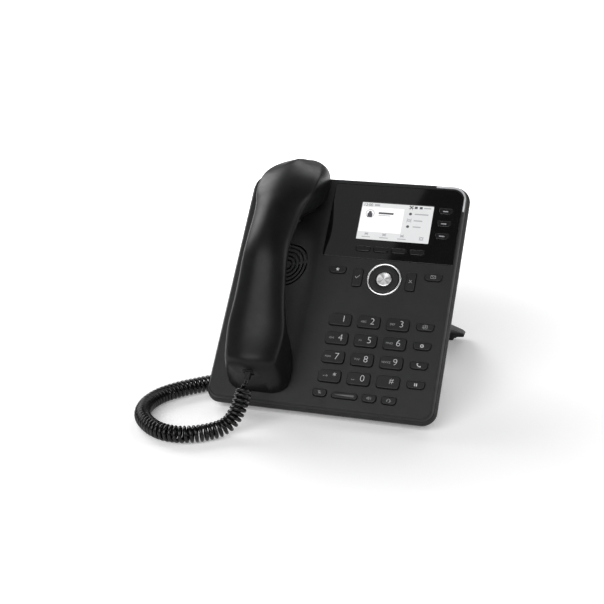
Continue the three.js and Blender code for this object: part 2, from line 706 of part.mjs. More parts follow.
function sweepBack(outline, near, far) {
  const ring = (y) => outline.map(([x, z]) => new THREE.Vector3(x, y, z));
  return loft([ring(far), ring(near)], (point) => new THREE.Vector2(point.x, point.z));
}

const standWidth = sweepBack([
  [-80, -15], [80, -15], [81, -9.8], [88, -9], [88, 0], [60, 72], [-60, 72], [-88, 0], [-88, -9], [-81, -9.8],
], 60, 215);
const standArch = sweepBack([[-52, -20], [52, -20], [40, 28], [-40, 28]], 110, 215);
const hooks = HOOK_XS.map((x) => {
  const hook = block(x - 6.8, x + 6.8, 102, 106, -33.2, -27);
  return hook.rotateX(FACE_TILT);
});
const stand = cut(common(sweepAcross(sideProfile, -90, 90), standWidth), standArch);
phone.add(piece('stand', unite(stand, ...hooks), 'housing'));

// ---- handset cord: plugs, coil and tail ----
function taper(sections) {
  const rings = sections.map(([y, width, height, x, z]) => [
    new THREE.Vector3(x - width / 2, y, z - height / 2),
    new THREE.Vector3(x - width / 2, y, z + height / 2),
    new THREE.Vector3(x + width / 2, y, z + height / 2),
    new THREE.Vector3(x + width / 2, y, z - height / 2),
  ]);
  return loft(rings, (point) => new THREE.Vector2(point.z, point.x));
}

const handsetPlug = taper([
  [6.8, 4, 3.6, HANDSET_X, PLUG_Z],
  [12.6, 5, 4.4, HANDSET_X, PLUG_Z],
  [13, 7.7, 6.6, HANDSET_X, PLUG_Z],
  [23, 7.7, 6.6, HANDSET_X, PLUG_Z],
]);
consoleFrame.add(piece('handset_plug', handsetPlug, 'clear'));

const BASE_PLUG = { x: HANDSET_JACKS.left + 6.5, z: (JACK_Z[0] + JACK_Z[1]) / 2 };
const basePlug = taper([
  [49, 3.6, 3.4, BASE_PLUG.x, BASE_PLUG.z],
  [54, 4.6, 4.2, BASE_PLUG.x, BASE_PLUG.z],
  [54.4, 7.7, 6.5, BASE_PLUG.x, BASE_PLUG.z],
  [69, 7.7, 6.5, BASE_PLUG.x, BASE_PLUG.z],
]);
consoleFrame.add(piece('base_plug', basePlug, 'clear'));

const COIL_RADIUS = 7;
const LEAD_RADIUS = 1.6;
const COIL_ROUTE = [
  [-52.25, -17.5, 25.1], [-52.4, -21.2, 21.2], [-53.3, -26.6, 14.6], [-55.4, -32.4, 5.6], [-59.4, -38.6, -2],
  [-65, -43.5, -5.8], [-72, -49.5, -6.9], [-82, -56.7, -6.9], [-93, -61, -6.9], [-108, -60.5, -6.9],
  [-123, -52.5, -6.9], [-135.5, -38.5, -6.9], [-140.5, -20, -6.9], [-137, -1, -6.9], [-127.5, 14, -6.9],
  [-115.5, 26, -6.9], [-104, 36, -6.9], [-91.5, 45.5, -6.9], [-79, 53.5, -6.9], [-66, 60.5, -6.9],
];
const TAIL_ROUTE = [
  [-64.9, 60.9, -7], [-58.5, 61, -8.4], [-53, 57.2, -9], [-50.3, 51, -6.5], [-49.5, 45.6, -1],
  [-49.5, 43.6, 4], [-49.5, 44.6, 9.4], [-49.5, 47.2, 14], [-49.5, 50.4, 17.6],
];

function tube(route, radius, sides, steps) {
  const points = route.map((point) => new THREE.Vector3(...point));
  const curve = new THREE.CatmullRomCurve3(points, false, 'centripetal');
  const section = new THREE.Shape(circle(0, 0, radius, sides));
  return new THREE.ExtrudeGeometry(section, { steps, extrudePath: curve });
}

phone.add(piece('cord_coil', tube(COIL_ROUTE, COIL_RADIUS, 10, 30), 'cord'));
phone.add(piece('cord_tail', tube(TAIL_ROUTE, LEAD_RADIUS, 8, 10), 'cord'));

export default phone;
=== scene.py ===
"""Looks for a corded desk phone on its rear stand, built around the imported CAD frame."""
import json
import math

import bmesh
import bpy
from mathutils import Matrix, Vector
from mathutils.geometry import tessellate_polygon


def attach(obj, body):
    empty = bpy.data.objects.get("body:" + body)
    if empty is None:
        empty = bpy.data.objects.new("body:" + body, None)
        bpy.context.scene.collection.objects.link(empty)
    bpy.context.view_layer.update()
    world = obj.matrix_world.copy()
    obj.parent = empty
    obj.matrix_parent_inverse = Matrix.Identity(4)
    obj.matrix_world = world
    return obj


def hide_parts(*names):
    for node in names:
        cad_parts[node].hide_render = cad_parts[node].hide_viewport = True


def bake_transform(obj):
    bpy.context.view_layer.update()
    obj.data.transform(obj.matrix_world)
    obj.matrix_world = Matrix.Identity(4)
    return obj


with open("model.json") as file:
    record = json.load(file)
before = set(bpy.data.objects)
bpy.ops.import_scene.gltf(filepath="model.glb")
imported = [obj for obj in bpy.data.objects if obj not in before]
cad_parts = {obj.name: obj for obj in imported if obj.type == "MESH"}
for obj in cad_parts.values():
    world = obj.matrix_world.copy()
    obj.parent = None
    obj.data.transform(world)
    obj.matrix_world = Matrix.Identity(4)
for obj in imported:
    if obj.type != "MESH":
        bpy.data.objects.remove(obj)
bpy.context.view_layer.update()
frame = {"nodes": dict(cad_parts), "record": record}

# ---- dimensions in millimetres, in the console frame: x across, y up the face, z out of it ----
TILT = math.radians(46)
DEPTH_CENTRE = 94.1245
DESK_DROP = 14
FACE_WIDTH = 188.5
FACE_HEIGHT = 209.2
FACE_RADII = (9, 12)
WALL = 2.2
GAP = 0.3
HANDSET_X = -52.25
HANDSET_BOTTOM = 7
HANDSET_TOP = 225
CRADLE = {"bottom": 10, "top": 206, "half_width": 30.5, "fade": 26, "depth": 8}
NAV = {"x": 37, "y": 117.2, "ring": 14.6, "disc": 12.5, "button": 6.4}
SCREEN = {"x": 37.4, "y": 171.1, "width": 62, "height": 35, "z": -0.35}
FASCIA = {"left": -20, "bottom": 135.2, "right": 92.3, "top": 205.2, "back": -1.4}
LIGHT = {"start_x": 68, "end_y": 186, "top_inset": 2.3, "side_inset": 1.1, "low": -1.2}
SPEAKER = {"x": -52.25, "y": 127, "slots": (4.4, 8.2, 12, 15.8, 19.4), "half": 0.8, "sweep": 172}
PLUG_Z = 30
PLUNGER = {"y": 172, "width": 10, "height": 6}
TAB = {"y": 203, "width": 7, "height": 2.4}
WELD = 0.0005
RIM_STEPS = 4
SHARP_DEGREES = 35
CAMERA = {
    "place": (0.24526, -0.92592, 0.43934), "azimuth": 17.07, "elevation": 21.07, "roll": -0.95,
    "lens": 70.808,
}

DESK = Matrix.Scale(0.001, 4) @ Matrix.Translation((0, -DEPTH_CENTRE, DESK_DROP))
CONSOLE = DESK @ Matrix.Rotation(TILT, 4, "X")


def smooth_step(t):
    t = min(1, max(0, t))
    return t * t * (3 - 2 * t)


def lerp(a, b, t):
    return a + (b - a) * t


# ---- camera ----
def add_camera():
    data = bpy.data.cameras.new("camera")
    data.sensor_width = 36
    data.lens = CAMERA["lens"]
    data.clip_start = 0.05
    data.clip_end = 60
    camera = bpy.data.objects.new("camera", data)
    bpy.context.scene.collection.objects.link(camera)
    turn = Matrix.Rotation(math.radians(CAMERA["azimuth"]), 4, "Z")
    pitch = Matrix.Rotation(math.radians(90 - CAMERA["elevation"]), 4, "X")
    roll = Matrix.Rotation(math.radians(CAMERA["roll"]), 4, "Z")
    place = Matrix.Translation(CAMERA["place"])
    camera.matrix_world = place @ turn @ pitch @ roll
    bpy.context.scene.camera = camera


add_camera()


# ---- materials ----
MOULDED = (0.013, 0.013, 0.0133)
# Distance from the middle of the floor in metres, and how strongly the floor lights itself there.
FLOOR_GLOW = {"near": (0.14, 0.2), "far": (0.7, 1.05)}
# Places round the turned button and how bright its painted sheen is there: lighter and darker sectors of base
# colour stand in for the streaked reflections of spun metal.
PAINTED_SHEEN_SECTORS = (
    (0, 0.75), (0.06, 0.9), (0.1, 0.35), (0.18, 1.0), (0.26, 0.8), (0.33, 1.0), (0.4, 0.3), (0.47, 0.75),
    (0.55, 0.15), (0.62, 0.8), (0.7, 1.0), (0.78, 0.45), (0.84, 0.1), (0.9, 0.8), (1, 0.75),
)


def noise_of(tree, coords, scale, detail=3.0, roughness=0.6):
    noise = tree.nodes.new("ShaderNodeTexNoise")
    noise.inputs["Scale"].default_value = scale
    noise.inputs["Detail"].default_value = detail
    noise.inputs["Roughness"].default_value = roughness
    tree.links.new(coords, noise.inputs["Vector"])
    return noise.outputs["Fac"]


def ramp_of(tree, source, low, high, start=0.3, end=0.7):
    ramp = tree.nodes.new("ShaderNodeValToRGB")
    ramp.color_ramp.elements[0].position = start
    ramp.color_ramp.elements[1].position = end
    ramp.color_ramp.elements[0].color = low
    ramp.color_ramp.elements[1].color = high
    tree.links.new(source, ramp.inputs["Fac"])
    return ramp.outputs["Color"]


def range_of(tree, source, low, high):
    node = tree.nodes.new("ShaderNodeMapRange")
    node.inputs["From Min"].default_value = 0.3
    node.inputs["From Max"].default_value = 0.7
    node.inputs["To Min"].default_value = low
    node.inputs["To Max"].default_value = high
    tree.links.new(source, node.inputs["Value"])
    return node.outputs["Result"]


def material(name, color, roughness, variation=0.12, grain=1800, bump=0.35, relief=0.00003,
             metallic=0.0, wear=0.0, coat=0.0, transmission=0.0, glow=0.0, blotch=60,
             specular=0.5):
    """A plastic, rubber or metal with its own colour drift, roughness drift, grain and edge wear."""
    result = bpy.data.materials.new(name)
    result.use_nodes = True
    tree = result.node_tree
    shader = tree.nodes["Principled BSDF"]
    coords = tree.nodes.new("ShaderNodeTexCoord").outputs["Object"]
    broad = noise_of(tree, coords, blotch)
    darker = tuple(c * (1 - variation) for c in color) + (1,)
    lighter = tuple(min(1, c * (1 + variation)) for c in color) + (1,)
    tint = ramp_of(tree, broad, darker, lighter)
    if wear:
        geometry = tree.nodes.new("ShaderNodeNewGeometry")
        edges = ramp_of(tree, geometry.outputs["Pointiness"], (0, 0, 0, 1), (1, 1, 1, 1), 0.52, 0.62)
        mix = tree.nodes.new("ShaderNodeMix")
        mix.data_type = "RGBA"
        mix.blend_type = "ADD"
        scaled = tree.nodes.new("ShaderNodeMath")
        scaled.operation = "MULTIPLY"
        scaled.inputs[1].default_value = wear
        tree.links.new(edges, scaled.inputs[0])
        tree.links.new(scaled.outputs[0], mix.inputs["Factor"])
        tree.links.new(tint, mix.inputs["A"])
        mix.inputs["B"].default_value = (0.25, 0.25, 0.25, 1)
        tint = mix.outputs["Result"]
    if glow:
        dark, less_dark = (tuple(c * share for c in color) + (1,) for share in (0.06, 0.07))
        tree.links.new(ramp_of(tree, broad, dark, less_dark), shader.inputs["Base Color"])
    else:
        tree.links.new(tint, shader.inputs["Base Color"])
    rough = range_of(tree, noise_of(tree, coords, blotch * 3), roughness * 0.9, min(1, roughness * 1.1))
    tree.links.new(rough, shader.inputs["Roughness"])
    bumper = tree.nodes.new("ShaderNodeBump")
    bumper.inputs["Strength"].default_value = bump
    bumper.inputs["Distance"].default_value = relief
    tree.links.new(noise_of(tree, coords, grain, 2.0), bumper.inputs["Height"])
    tree.links.new(bumper.outputs["Normal"], shader.inputs["Normal"])
    shader.inputs["Metallic"].default_value = metallic
    shader.inputs["Specular IOR Level"].default_value = specular
    shader.inputs["Coat Weight"].default_value = coat
    shader.inputs["Coat Roughness"].default_value = 0.04
    shader.inputs["Transmission Weight"].default_value = transmission
    if glow:
        tree.links.new(tint, shader.inputs["Emission Color"])
        shader.inputs["Emission Strength"].default_value = glow
    return result


def painted_sheen_material(name, low, high, roughness):
    """Metal turned on a lathe, with a painted sheen: its base colour is lighter and darker in sectors round
    the object's own centre, standing in for the reflections of the spun finish.
    """
    result = material(name, high, roughness, grain=1600, bump=0.08, metallic=1.0)
    tree = result.node_tree
    shader = tree.nodes["Principled BSDF"]
    sweep = tree.nodes.new("ShaderNodeTexGradient")
    sweep.gradient_type = "RADIAL"
    coords = next(n for n in tree.nodes if n.bl_idname == "ShaderNodeTexCoord").outputs["Object"]
    tree.links.new(coords, sweep.inputs["Vector"])
    ramp = tree.nodes.new("ShaderNodeValToRGB")
    tree.links.new(sweep.outputs["Fac"], ramp.inputs["Fac"])
    stops = ramp.color_ramp.elements
    stops[0].position = 0.0
    stops[1].position = 1.0
    for position, shade in PAINTED_SHEEN_SECTORS:
        stop = stops[0] if position == 0 else stops[-1] if position == 1 else stops.new(position)
        stop.color = tuple(lerp(a, b, shade) for a, b in zip(low, high)) + (1,)
    tree.links.new(ramp.outputs["Color"], shader.inputs["Base Color"])
    return result


def floor_material():
    """White studio floor: matt, lit by the softboxes near the object and self-lit further out."""
    result = bpy.data.materials.new("pale_floor")
    result.use_nodes = True
    tree = result.node_tree
    shader = tree.nodes["Principled BSDF"]
    coords = tree.nodes.new("ShaderNodeTexCoord").outputs["Object"]
    distance = tree.nodes.new("ShaderNodeVectorMath")
    distance.operation = "LENGTH"
    tree.links.new(coords, distance.inputs[0])
    reach = tree.nodes.new("ShaderNodeMapRange")
    reach.inputs["From Min"].default_value = FLOOR_GLOW["near"][0]
    reach.inputs["From Max"].default_value = FLOOR_GLOW["far"][0]
    reach.interpolation_type = "SMOOTHSTEP"
    tree.links.new(distance.outputs["Value"], reach.inputs["Value"])
    near, far = FLOOR_GLOW["near"][1], FLOOR_GLOW["far"][1]
    glow = ramp_of(tree, reach.outputs["Result"], (near, near, near, 1), (far, far, far, 1), 0, 1)
    tree.links.new(glow, shader.inputs["Emission Color"])
    tint = ramp_of(tree, noise_of(tree, coords, 60), (0.89, 0.89, 0.89, 1), (0.9, 0.9, 0.9, 1))
    tree.links.new(tint, shader.inputs["Base Color"])
    shader.inputs["Emission Strength"].default_value = 1
    shader.inputs["Roughness"].default_value = 0.7
    shader.inputs["Specular IOR Level"].default_value = 0.1
    return result


LOOK = {
    "housing": material("moulded_black", MOULDED, 0.5, grain=1500, bump=0.55, wear=0.04, specular=0.3),
    "key": material("key_black", MOULDED, 0.44, grain=2200, bump=0.35, wear=0.05, specular=0.3),
    "gloss": material("gloss_black", (0.0035, 0.0035, 0.0038), 0.045, grain=90, bump=0.02, coat=0.3),
    "gloss_key": material("gloss_key_black", (0.006, 0.006, 0.0065), 0.2, grain=400, bump=0.05, wear=0.03),
    "handset": material(
        "satin_black", (0.006, 0.006, 0.0062), 0.38, grain=1900, bump=0.3, wear=0.01, specular=0.16,
    ),
    "chrome": material("satin_chrome", (0.9, 0.9, 0.91), 0.38, grain=900, bump=0.1, metallic=1.0),
    "light": material("light_guide", (0.55, 0.56, 0.57), 0.28, grain=500, bump=0.1, coat=0.4),
    "rubber": material("rubber", (0.012, 0.012, 0.012), 0.85, grain=1200, bump=0.6),
    "board": material("solder_mask", (0.01, 0.09, 0.04), 0.45, blotch=200),
    "silicone": material("silicone", (0.16, 0.17, 0.18), 0.65),
    "cone": material("speaker_cone", (0.03, 0.03, 0.03), 0.75, grain=900, bump=0.7),
    "socket": material("socket_black", (0.018, 0.018, 0.019), 0.5),
    "cord": material(
        "cord_sheath", (0.005, 0.005, 0.0054), 0.22, grain=700, bump=0.15, blotch=120, specular=0.32,
    ),
    "clear": material(
        "plug_smoke", (0.008, 0.008, 0.0085), 0.5, grain=300, bump=0.1, transmission=0.1, specular=0.12,
    ),
    "gold": material("contact_gold", (0.83, 0.6, 0.24), 0.25, metallic=1.0),
    "print": material("key_print", (0.62, 0.62, 0.63), 0.5, variation=0.06),
    "print_mid": material("key_print_mid", (0.3, 0.3, 0.31), 0.5, variation=0.06),
    "print_dim": material("key_print_dim", (0.28, 0.28, 0.285), 0.5, variation=0.06),
    "print_wedge": material("key_print_wedge", (0.1, 0.1, 0.102), 0.45, variation=0.3, blotch=150),
    "screen": material("screen_grey", (0.74, 0.745, 0.75), 0.3, variation=0.02, grain=3000, glow=1.0),
    "screen_white": material("screen_white", (1.0, 1.0, 1.0), 0.3, variation=0.01, grain=3000, glow=1.02),
    "screen_mid": material("screen_mid", (0.42, 0.43, 0.44), 0.3, variation=0.03, grain=3000, glow=1.0),
    "screen_dark": material("screen_dark", (0.09, 0.09, 0.1), 0.3, variation=0.05, grain=3000, glow=1.0),
}
LOOK["floor"] = floor_material()
# The turned button's metal has its reflections painted in as lighter and darker sectors of base colour.
LOOK["spun"] = painted_sheen_material("spun_silver_painted_sheen", (0.22, 0.22, 0.225), (0.95, 0.95, 0.96), 0.42)


# ---- meshes ----
def link(name, mesh, body, look, replaces=()):
    obj = bpy.data.objects.new(name, mesh)
    bpy.context.scene.collection.objects.link(obj)
    mesh.materials.append(LOOK[look])
    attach(obj, body)
    if replaces:
        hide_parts(*replaces)
    return obj


def mark_sharp(mesh, degrees=SHARP_DEGREES):
    edit = bmesh.new()
    edit.from_mesh(mesh)
    bmesh.ops.recalc_face_normals(edit, faces=edit.faces)
    limit = math.radians(degrees)
    for edge in edit.edges:
        edge.smooth = len(edge.link_faces) == 2 and edge.calc_face_angle(0) < limit
    for face in edit.faces:
        face.smooth = True
    edit.to_mesh(mesh)
    edit.free()


def arc(x, y, radius, start, end, steps):
    points = []
    for i in range(steps + 1):
        angle = math.radians(lerp(start, end, i / steps))
        points.append((x + radius * math.cos(angle), y + radius * math.sin(angle)))
    return points


def rounded_rect(x, y, width, height, radii, steps=6, outset=0.0):
    """Corner radii run bottom left, bottom right, top right, top left."""
    if not hasattr(radii, "__len__"):
        radii = (radii,) * 4
    bottom_left, bottom_right, top_right, top_left = (max(0.05, r + outset) for r in radii)
    half_width = width / 2 + outset
    half_height = height / 2 + outset
    left, right = x - half_width, x + half_width
    low, high = y - half_height, y + half_height
    return [
        *arc(left + bottom_left, low + bottom_left, bottom_left, 180, 270, steps),
        *arc(right - bottom_right, low + bottom_right, bottom_right, 270, 360, steps),
        *arc(right - top_right, high - top_right, top_right, 0, 90, steps),
        *arc(left + top_left, high - top_left, top_left, 90, 180, steps),
    ]


def circle(x, y, radius, steps=48):
    return arc(x, y, radius, 0, 360, steps)[:-1]


def at(outline, z):
    return [(x, y, z) for x, y in outline]


def loft(rings, start_cap=True, end_cap=True):
    """Vertices and faces of a body through rings of equal length."""
    count = len(rings[0])
    vertices = [v for ring in rings for v in ring]
    faces = []
    for ring in range(len(rings) - 1):
        for i in range(count):
            a = ring * count + i
            b = ring * count + (i + 1) % count
            faces.append((a, b, b + count, a + count))
    if start_cap:
        faces.append(tuple(reversed(range(count))))
    if end_cap:
        last = (len(rings) - 1) * count
        faces.append(tuple(range(last, last + count)))
    return vertices, faces


def joined(parts):
    vertices, faces = [], []
    for part_vertices, part_faces in parts:
        start = len(vertices)
        vertices.extend(part_vertices)
        faces.extend(tuple(i + start for i in face) for face in part_faces)
    return vertices, faces


def slab(outline, low, high):
    return loft([at(outline, low), at(outline, high)])


def box(left, right, bottom, top, low, high):
    return slab([(left, bottom), (right, bottom), (right, top), (left, top)], low, high)


def raw_mesh(name, parts):
    """Closed bodies in the console frame, in millimetres, as one mesh facing outwards."""
    vertices, faces = joined(parts)
    mesh = bpy.data.meshes.new(name)
    mesh.from_pydata([tuple(v) for v in vertices], [], faces)
    edit = bmesh.new()
    edit.from_mesh(mesh)
    bmesh.ops.remove_doubles(edit, verts=edit.verts, dist=WELD)
    bmesh.ops.recalc_face_normals(edit, faces=edit.faces)
    edit.to_mesh(mesh)
    edit.free()
    return mesh


def combine(name, mesh, parts, operation="DIFFERENCE"):
    """The mesh with the parts taken away, joined on, or kept only where they meet it."""
    body = bpy.data.objects.new(name, mesh)
    tool = bpy.data.objects.new("tool", raw_mesh("tool", parts))
    for obj in (body, tool):
        bpy.context.scene.collection.objects.link(obj)
    modifier = body.modifiers.new("combine", "BOOLEAN")
    modifier.operation = operation
    modifier.object = tool
    modifier.solver = "EXACT"
    graph = bpy.context.evaluated_depsgraph_get()
    result = bpy.data.meshes.new_from_object(body.evaluated_get(graph))
    tool_mesh = tool.data
    bpy.data.objects.remove(body)
    bpy.data.objects.remove(tool)
    bpy.data.meshes.remove(tool_mesh)
    bpy.data.meshes.remove(mesh)
    result.name = name
    return result


def placed(mesh, space=CONSOLE, degrees=SHARP_DEGREES):
    mesh.transform(space)
    mark_sharp(mesh, degrees)
    return mesh


def softened(levels, reach=0.4, steps=3):
    """[z, outset] corners turned into short curves; the first and last stay."""
    result = [levels[0]]
    for before, corner, after in zip(levels, levels[1:], levels[2:]):
        corner = Vector(corner)
        start = corner.lerp(Vector(before), min(0.45, reach / (Vector(before) - corner).length))
        end = corner.lerp(Vector(after), min(0.45, reach / (Vector(after) - corner).length))
        for i in range(steps + 1):
            t = i / steps
            result.append(tuple(start.lerp(corner, t).lerp(corner.lerp(end, t), t)))
    result.append(levels[-1])
    return result


def face_outline(outset, steps=12):
    bottom, top = (max(3, radius + outset) for radius in FACE_RADII)
    width, height = FACE_WIDTH + 2 * outset, FACE_HEIGHT + 2 * outset
    return rounded_rect(0, FACE_HEIGHT / 2, width, height, (bottom, bottom, top, top), steps)


def face_rings(levels, steps=12):
    return [at(face_outline(outset, steps), z) for z, outset in levels]


def quarter_round(steps):
    """1 - cos and 1 - sin of even steps through a right angle, for rounding an edge."""
    angles = [math.pi / 2 * i / steps for i in range(steps + 1)]
    return [(1 - math.cos(angle), 1 - math.sin(angle)) for angle in angles]


def rim_hole(outline, bottom, rim=0.35, support=0.3, top=0.0):
    """Rings of a hole from the plate's top down: a flat ring, a rounded rim, then a straight wall.
    The outline is a function of its outset."""
    rings = [at(outline(rim + support), top)]
    for down, across in quarter_round(RIM_STEPS):
        rings.append(at(outline(rim * across), top - rim * down))
    rings.append(at(outline(0), bottom))
    return rings


def plate(outer_rings, holes, top_loops=(), bottom_loops=()):
    """A plate through its outer rings, from the underside's rim round to the top's, with holes."""
    parts = [loft(outer_rings, False, False)]
    parts.extend(loft(rings, False, False) for rings in holes)
    tops = [outer_rings[-1], *(rings[0] for rings in holes), *top_loops]
    bottoms = [outer_rings[0], *(rings[-1] for rings in holes), *bottom_loops]
    for loops in (tops, bottoms):
        points = [point for loop in loops for point in loop]
        fill = tessellate_polygon([[Vector(p) for p in loop] for loop in loops])
        parts.append((points, [tuple(face) for face in fill]))
    return parts


def height_grid(x0, x1, y0, y1, columns, rows, surface):
    vertices, faces = [], []
    for row in range(rows + 1):
        for column in range(columns + 1):
            x, y = lerp(x0, x1, column / columns), lerp(y0, y1, row / rows)
            vertices.append((x, y, surface(x, y)))
    for row in range(rows):
        for column in range(columns):
            a = row * (columns + 1) + column
            faces.append((a, a + 1, a + columns + 2, a + columns + 1))
    return vertices, faces


def grid_rim(x0, x1, y0, y1, columns, rows, z):
    bottom = [(lerp(x0, x1, i / columns), y0, z) for i in range(columns)]
    right = [(x1, lerp(y0, y1, i / rows), z) for i in range(rows)]
    top = [(lerp(x1, x0, i / columns), y1, z) for i in range(columns)]
    left = [(x0, lerp(y1, y0, i / rows), z) for i in range(rows)]
    return bottom + right + top + left


def lathe(x, y, profile, segments=96, closed=False):
    """A turned body from [radius, z] points; a closed profile makes a ring."""
    rings = [at(circle(x, y, radius, segments), z) for radius, z in profile]
    if closed:
        rings.append(rings[0])
    return loft(rings, not closed, not closed)


# ---- keys: centre x and y, width, height, radii, rise, look and sink ----
SIDE_RADII = (3, 3, 1.2, 1.2)
FOOT_RADII = (2.6, 2.6, 1.2, 1.2)
KEYS = {}
for i, label in enumerate(("1", "2", "3", "4", "5", "6", "7", "8", "9", "star", "0", "hash")):
    KEYS[f"key_{label}"] = (6.55 + 24.4 * (i % 3), 77.6 - 16.7 * (i // 3), 18.6, 10.8, 2.5, 1.7, "key", 0)
for i, name in enumerate(("directory_key", "settings_key", "transfer_key", "hold_key")):
    KEYS[name] = (78.05, 77.75 - 16.7 * i, 14.2, 6.2, SIDE_RADII, 1.4, "key", 0)
KEYS["mute_key"] = (0.95, 12.4, 11.2, 6.2, FOOT_RADII, 1.4, "key", 0)
KEYS["volume_rocker"] = (21.75, 12, 21.2, 5, 2.2, 1.4, "key", 0.5)
KEYS["speaker_key"] = (42.25, 12, 11.2, 6.2, FOOT_RADII, 1.4, "key", 0)
KEYS["headset_key"] = (58.45, 12, 11.8, 6.2, FOOT_RADII, 1.4, "key", 0)
KEYS["favourites_key"] = (NAV["x"] - 41, 122.6, 14, 6.4, SIDE_RADII, 1.4, "key", 0)
KEYS["message_key"] = (NAV["x"] + 41, 122.6, 14, 6.4, SIDE_RADII, 1.4, "key", 0)
KEYS["confirm_key"] = (NAV["x"] - 22.7, 117, 7.8, 16.6, (1.2, 2.4, 2.4, 1.2), 1.4, "key", 0)
KEYS["cancel_key"] = (NAV["x"] + 22.7, 117, 7.8, 16.6, (2.4, 1.2, 1.2, 2.4), 1.4, "key", 0)
for i in range(4):
    KEYS[f"soft_key_{i + 1}"] = (14.35 + 15.4 * i, 144, 12, 4.4, (2, 2, 0.9, 0.9), 0.9, "gloss_key", 0)
for i in range(3):
    KEYS[f"line_key_{i + 1}"] = (79.35, 184.3 - 11.74 * i, 11, 5, (2.2, 2.2, 1, 1), 0.9, "gloss_key", 0)
KEY_SLOPE = 0.06
KEY_EDGE = 0.5
KEY_STEPS = 6


def top_of(name, y):
    """Height of a key's top at a place up the face: it falls away from the caller."""
    key = KEYS[name]
    slope = KEY_SLOPE if key[3] < 12 else KEY_SLOPE / 2
    return key[5] + slope * (key[1] - y)


def key_outline(name, gap=0.0):
    """A key's outline, or its hole's, as a function of its outset."""
    x, y, width, height, radii = KEYS[name][:5]
    return lambda outset: rounded_rect(x, y, width, height, radii, KEY_STEPS, outset + gap)


def key_cap(name):
    rise, _, sink = KEYS[name][5:]
    edge = KEY_EDGE if rise > 1 else KEY_EDGE * 0.6
    ring = key_outline(name)
    rings = [at(ring(0.8), -3.4 - sink), at(ring(0.8), -2.5 - sink), at(ring(0), -2.45 - sink)]
    for inward, drop in quarter_round(RIM_STEPS + 1):
        rings.append([(px, py, top_of(name, py) - edge * drop) for px, py in ring(-edge * inward)])
    rings.append([(px, py, top_of(name, py)) for px, py in ring(-edge - 0.25)])
    return loft(rings)


for name, key in KEYS.items():
    link(f"{name}_cap", placed(raw_mesh(name, [key_cap(name)])), name, key[6], (name,))


# ---- printed marks: flat shapes whose third value is 0 at the back and 1 at the front ----
def patch(outline):
    return slab(outline, 0, 1)


def bar(x, y, width, height):
    return patch(rounded_rect(x, y, width, height, 0.05, 1))


def ribbon(points, width, closed=False):
    """A line of even width through flat points."""
    count = len(points)
    vertices = []
    for i, (x, y) in enumerate(points):
        before = points[(i - 1) % count if closed else max(i - 1, 0)]
        after = points[(i + 1) % count if closed else min(i + 1, count - 1)]
        into = Vector((x - before[0], y - before[1]))
        out = Vector((after[0] - x, after[1] - y))
        into = into.normalized() if into.length else out.normalized()
        out = out.normalized() if out.length else into
        side = Vector((-into.y - out.y, into.x + out.x)).normalized()
        reach = width / 2 / max(0.4, side.dot(Vector((-into.y, into.x))))
        left = (x + side.x * reach, y + side.y * reach)
        right = (x - side.x * reach, y - side.y * reach)
        vertices += [(*left, 0), (*right, 0), (*right, 1), (*left, 1)]
    faces = []
    for i in range(count if closed else count - 1):
        a, b = 4 * i, 4 * ((i + 1) % count)
        faces += [(a + k, a + (k + 1) % 4, b + (k + 1) % 4, b + k) for k in range(4)]
    if not closed:
        last = 4 * (count - 1)
        faces += [(3, 2, 1, 0), (last, last + 1, last + 2, last + 3)]
    return vertices, faces


def lettering(text, height, thin=0.0):
    """Letters or figures centred on the origin, as one closed part."""
    curve = bpy.data.curves.new("lettering", "FONT")
    curve.body = text
    curve.align_x = "CENTER"
    curve.extrude = 0.5
    curve.offset = -thin
    curve.resolution_u = 5
    obj = bpy.data.objects.new("lettering", curve)
    bpy.context.scene.collection.objects.link(obj)
    mesh = bpy.data.meshes.new_from_object(obj.evaluated_get(bpy.context.evaluated_depsgraph_get()))
    bpy.data.objects.remove(obj)
    bpy.data.curves.remove(curve)
    ys = [v.co.y for v in mesh.vertices]
    xs = [v.co.x for v in mesh.vertices]
    scale = height / (max(ys) - min(ys))
    middle_x, middle_y = (max(xs) + min(xs)) / 2, (max(ys) + min(ys)) / 2
    vertices = [
        ((v.co.x - middle_x) * scale, (v.co.y - middle_y) * scale, 1 if v.co.z > 0 else 0)
        for v in mesh.vertices
    ]
    faces = [tuple(p.vertices) for p in mesh.polygons]
    bpy.data.meshes.remove(mesh)
    return vertices, faces


def moved(part, dx, dy, scale=1.0):
    vertices, faces = part
    return [(x * scale + dx, y * scale + dy, z) for x, y, z in vertices], faces


def on_key(name, parts, look, suffix="mark"):
    """Prints parts, drawn about the key's centre, on its sloping top."""
    x, y = KEYS[name][:2]
    vertices, faces = joined([moved(part, x, y) for part in parts])
    raised = [
        (px, py, top_of(name, py) + (MARK_PROUD if level > 0.5 else -MARK_ROOT)) for px, py, level in vertices
    ]
    link(f"{name}_{suffix}", placed(raw_mesh(name, [(raised, faces)])), name, look)


def loop(radius, x=0.0, y=0.0, steps=20, width=0.35):
    return ribbon(circle(x, y, radius, steps), width, True)


def frame_mark(x, y, width, height, radius=0.4, line=0.3):
    return ribbon(rounded_rect(x, y, width, height, radius, 3), line, True)


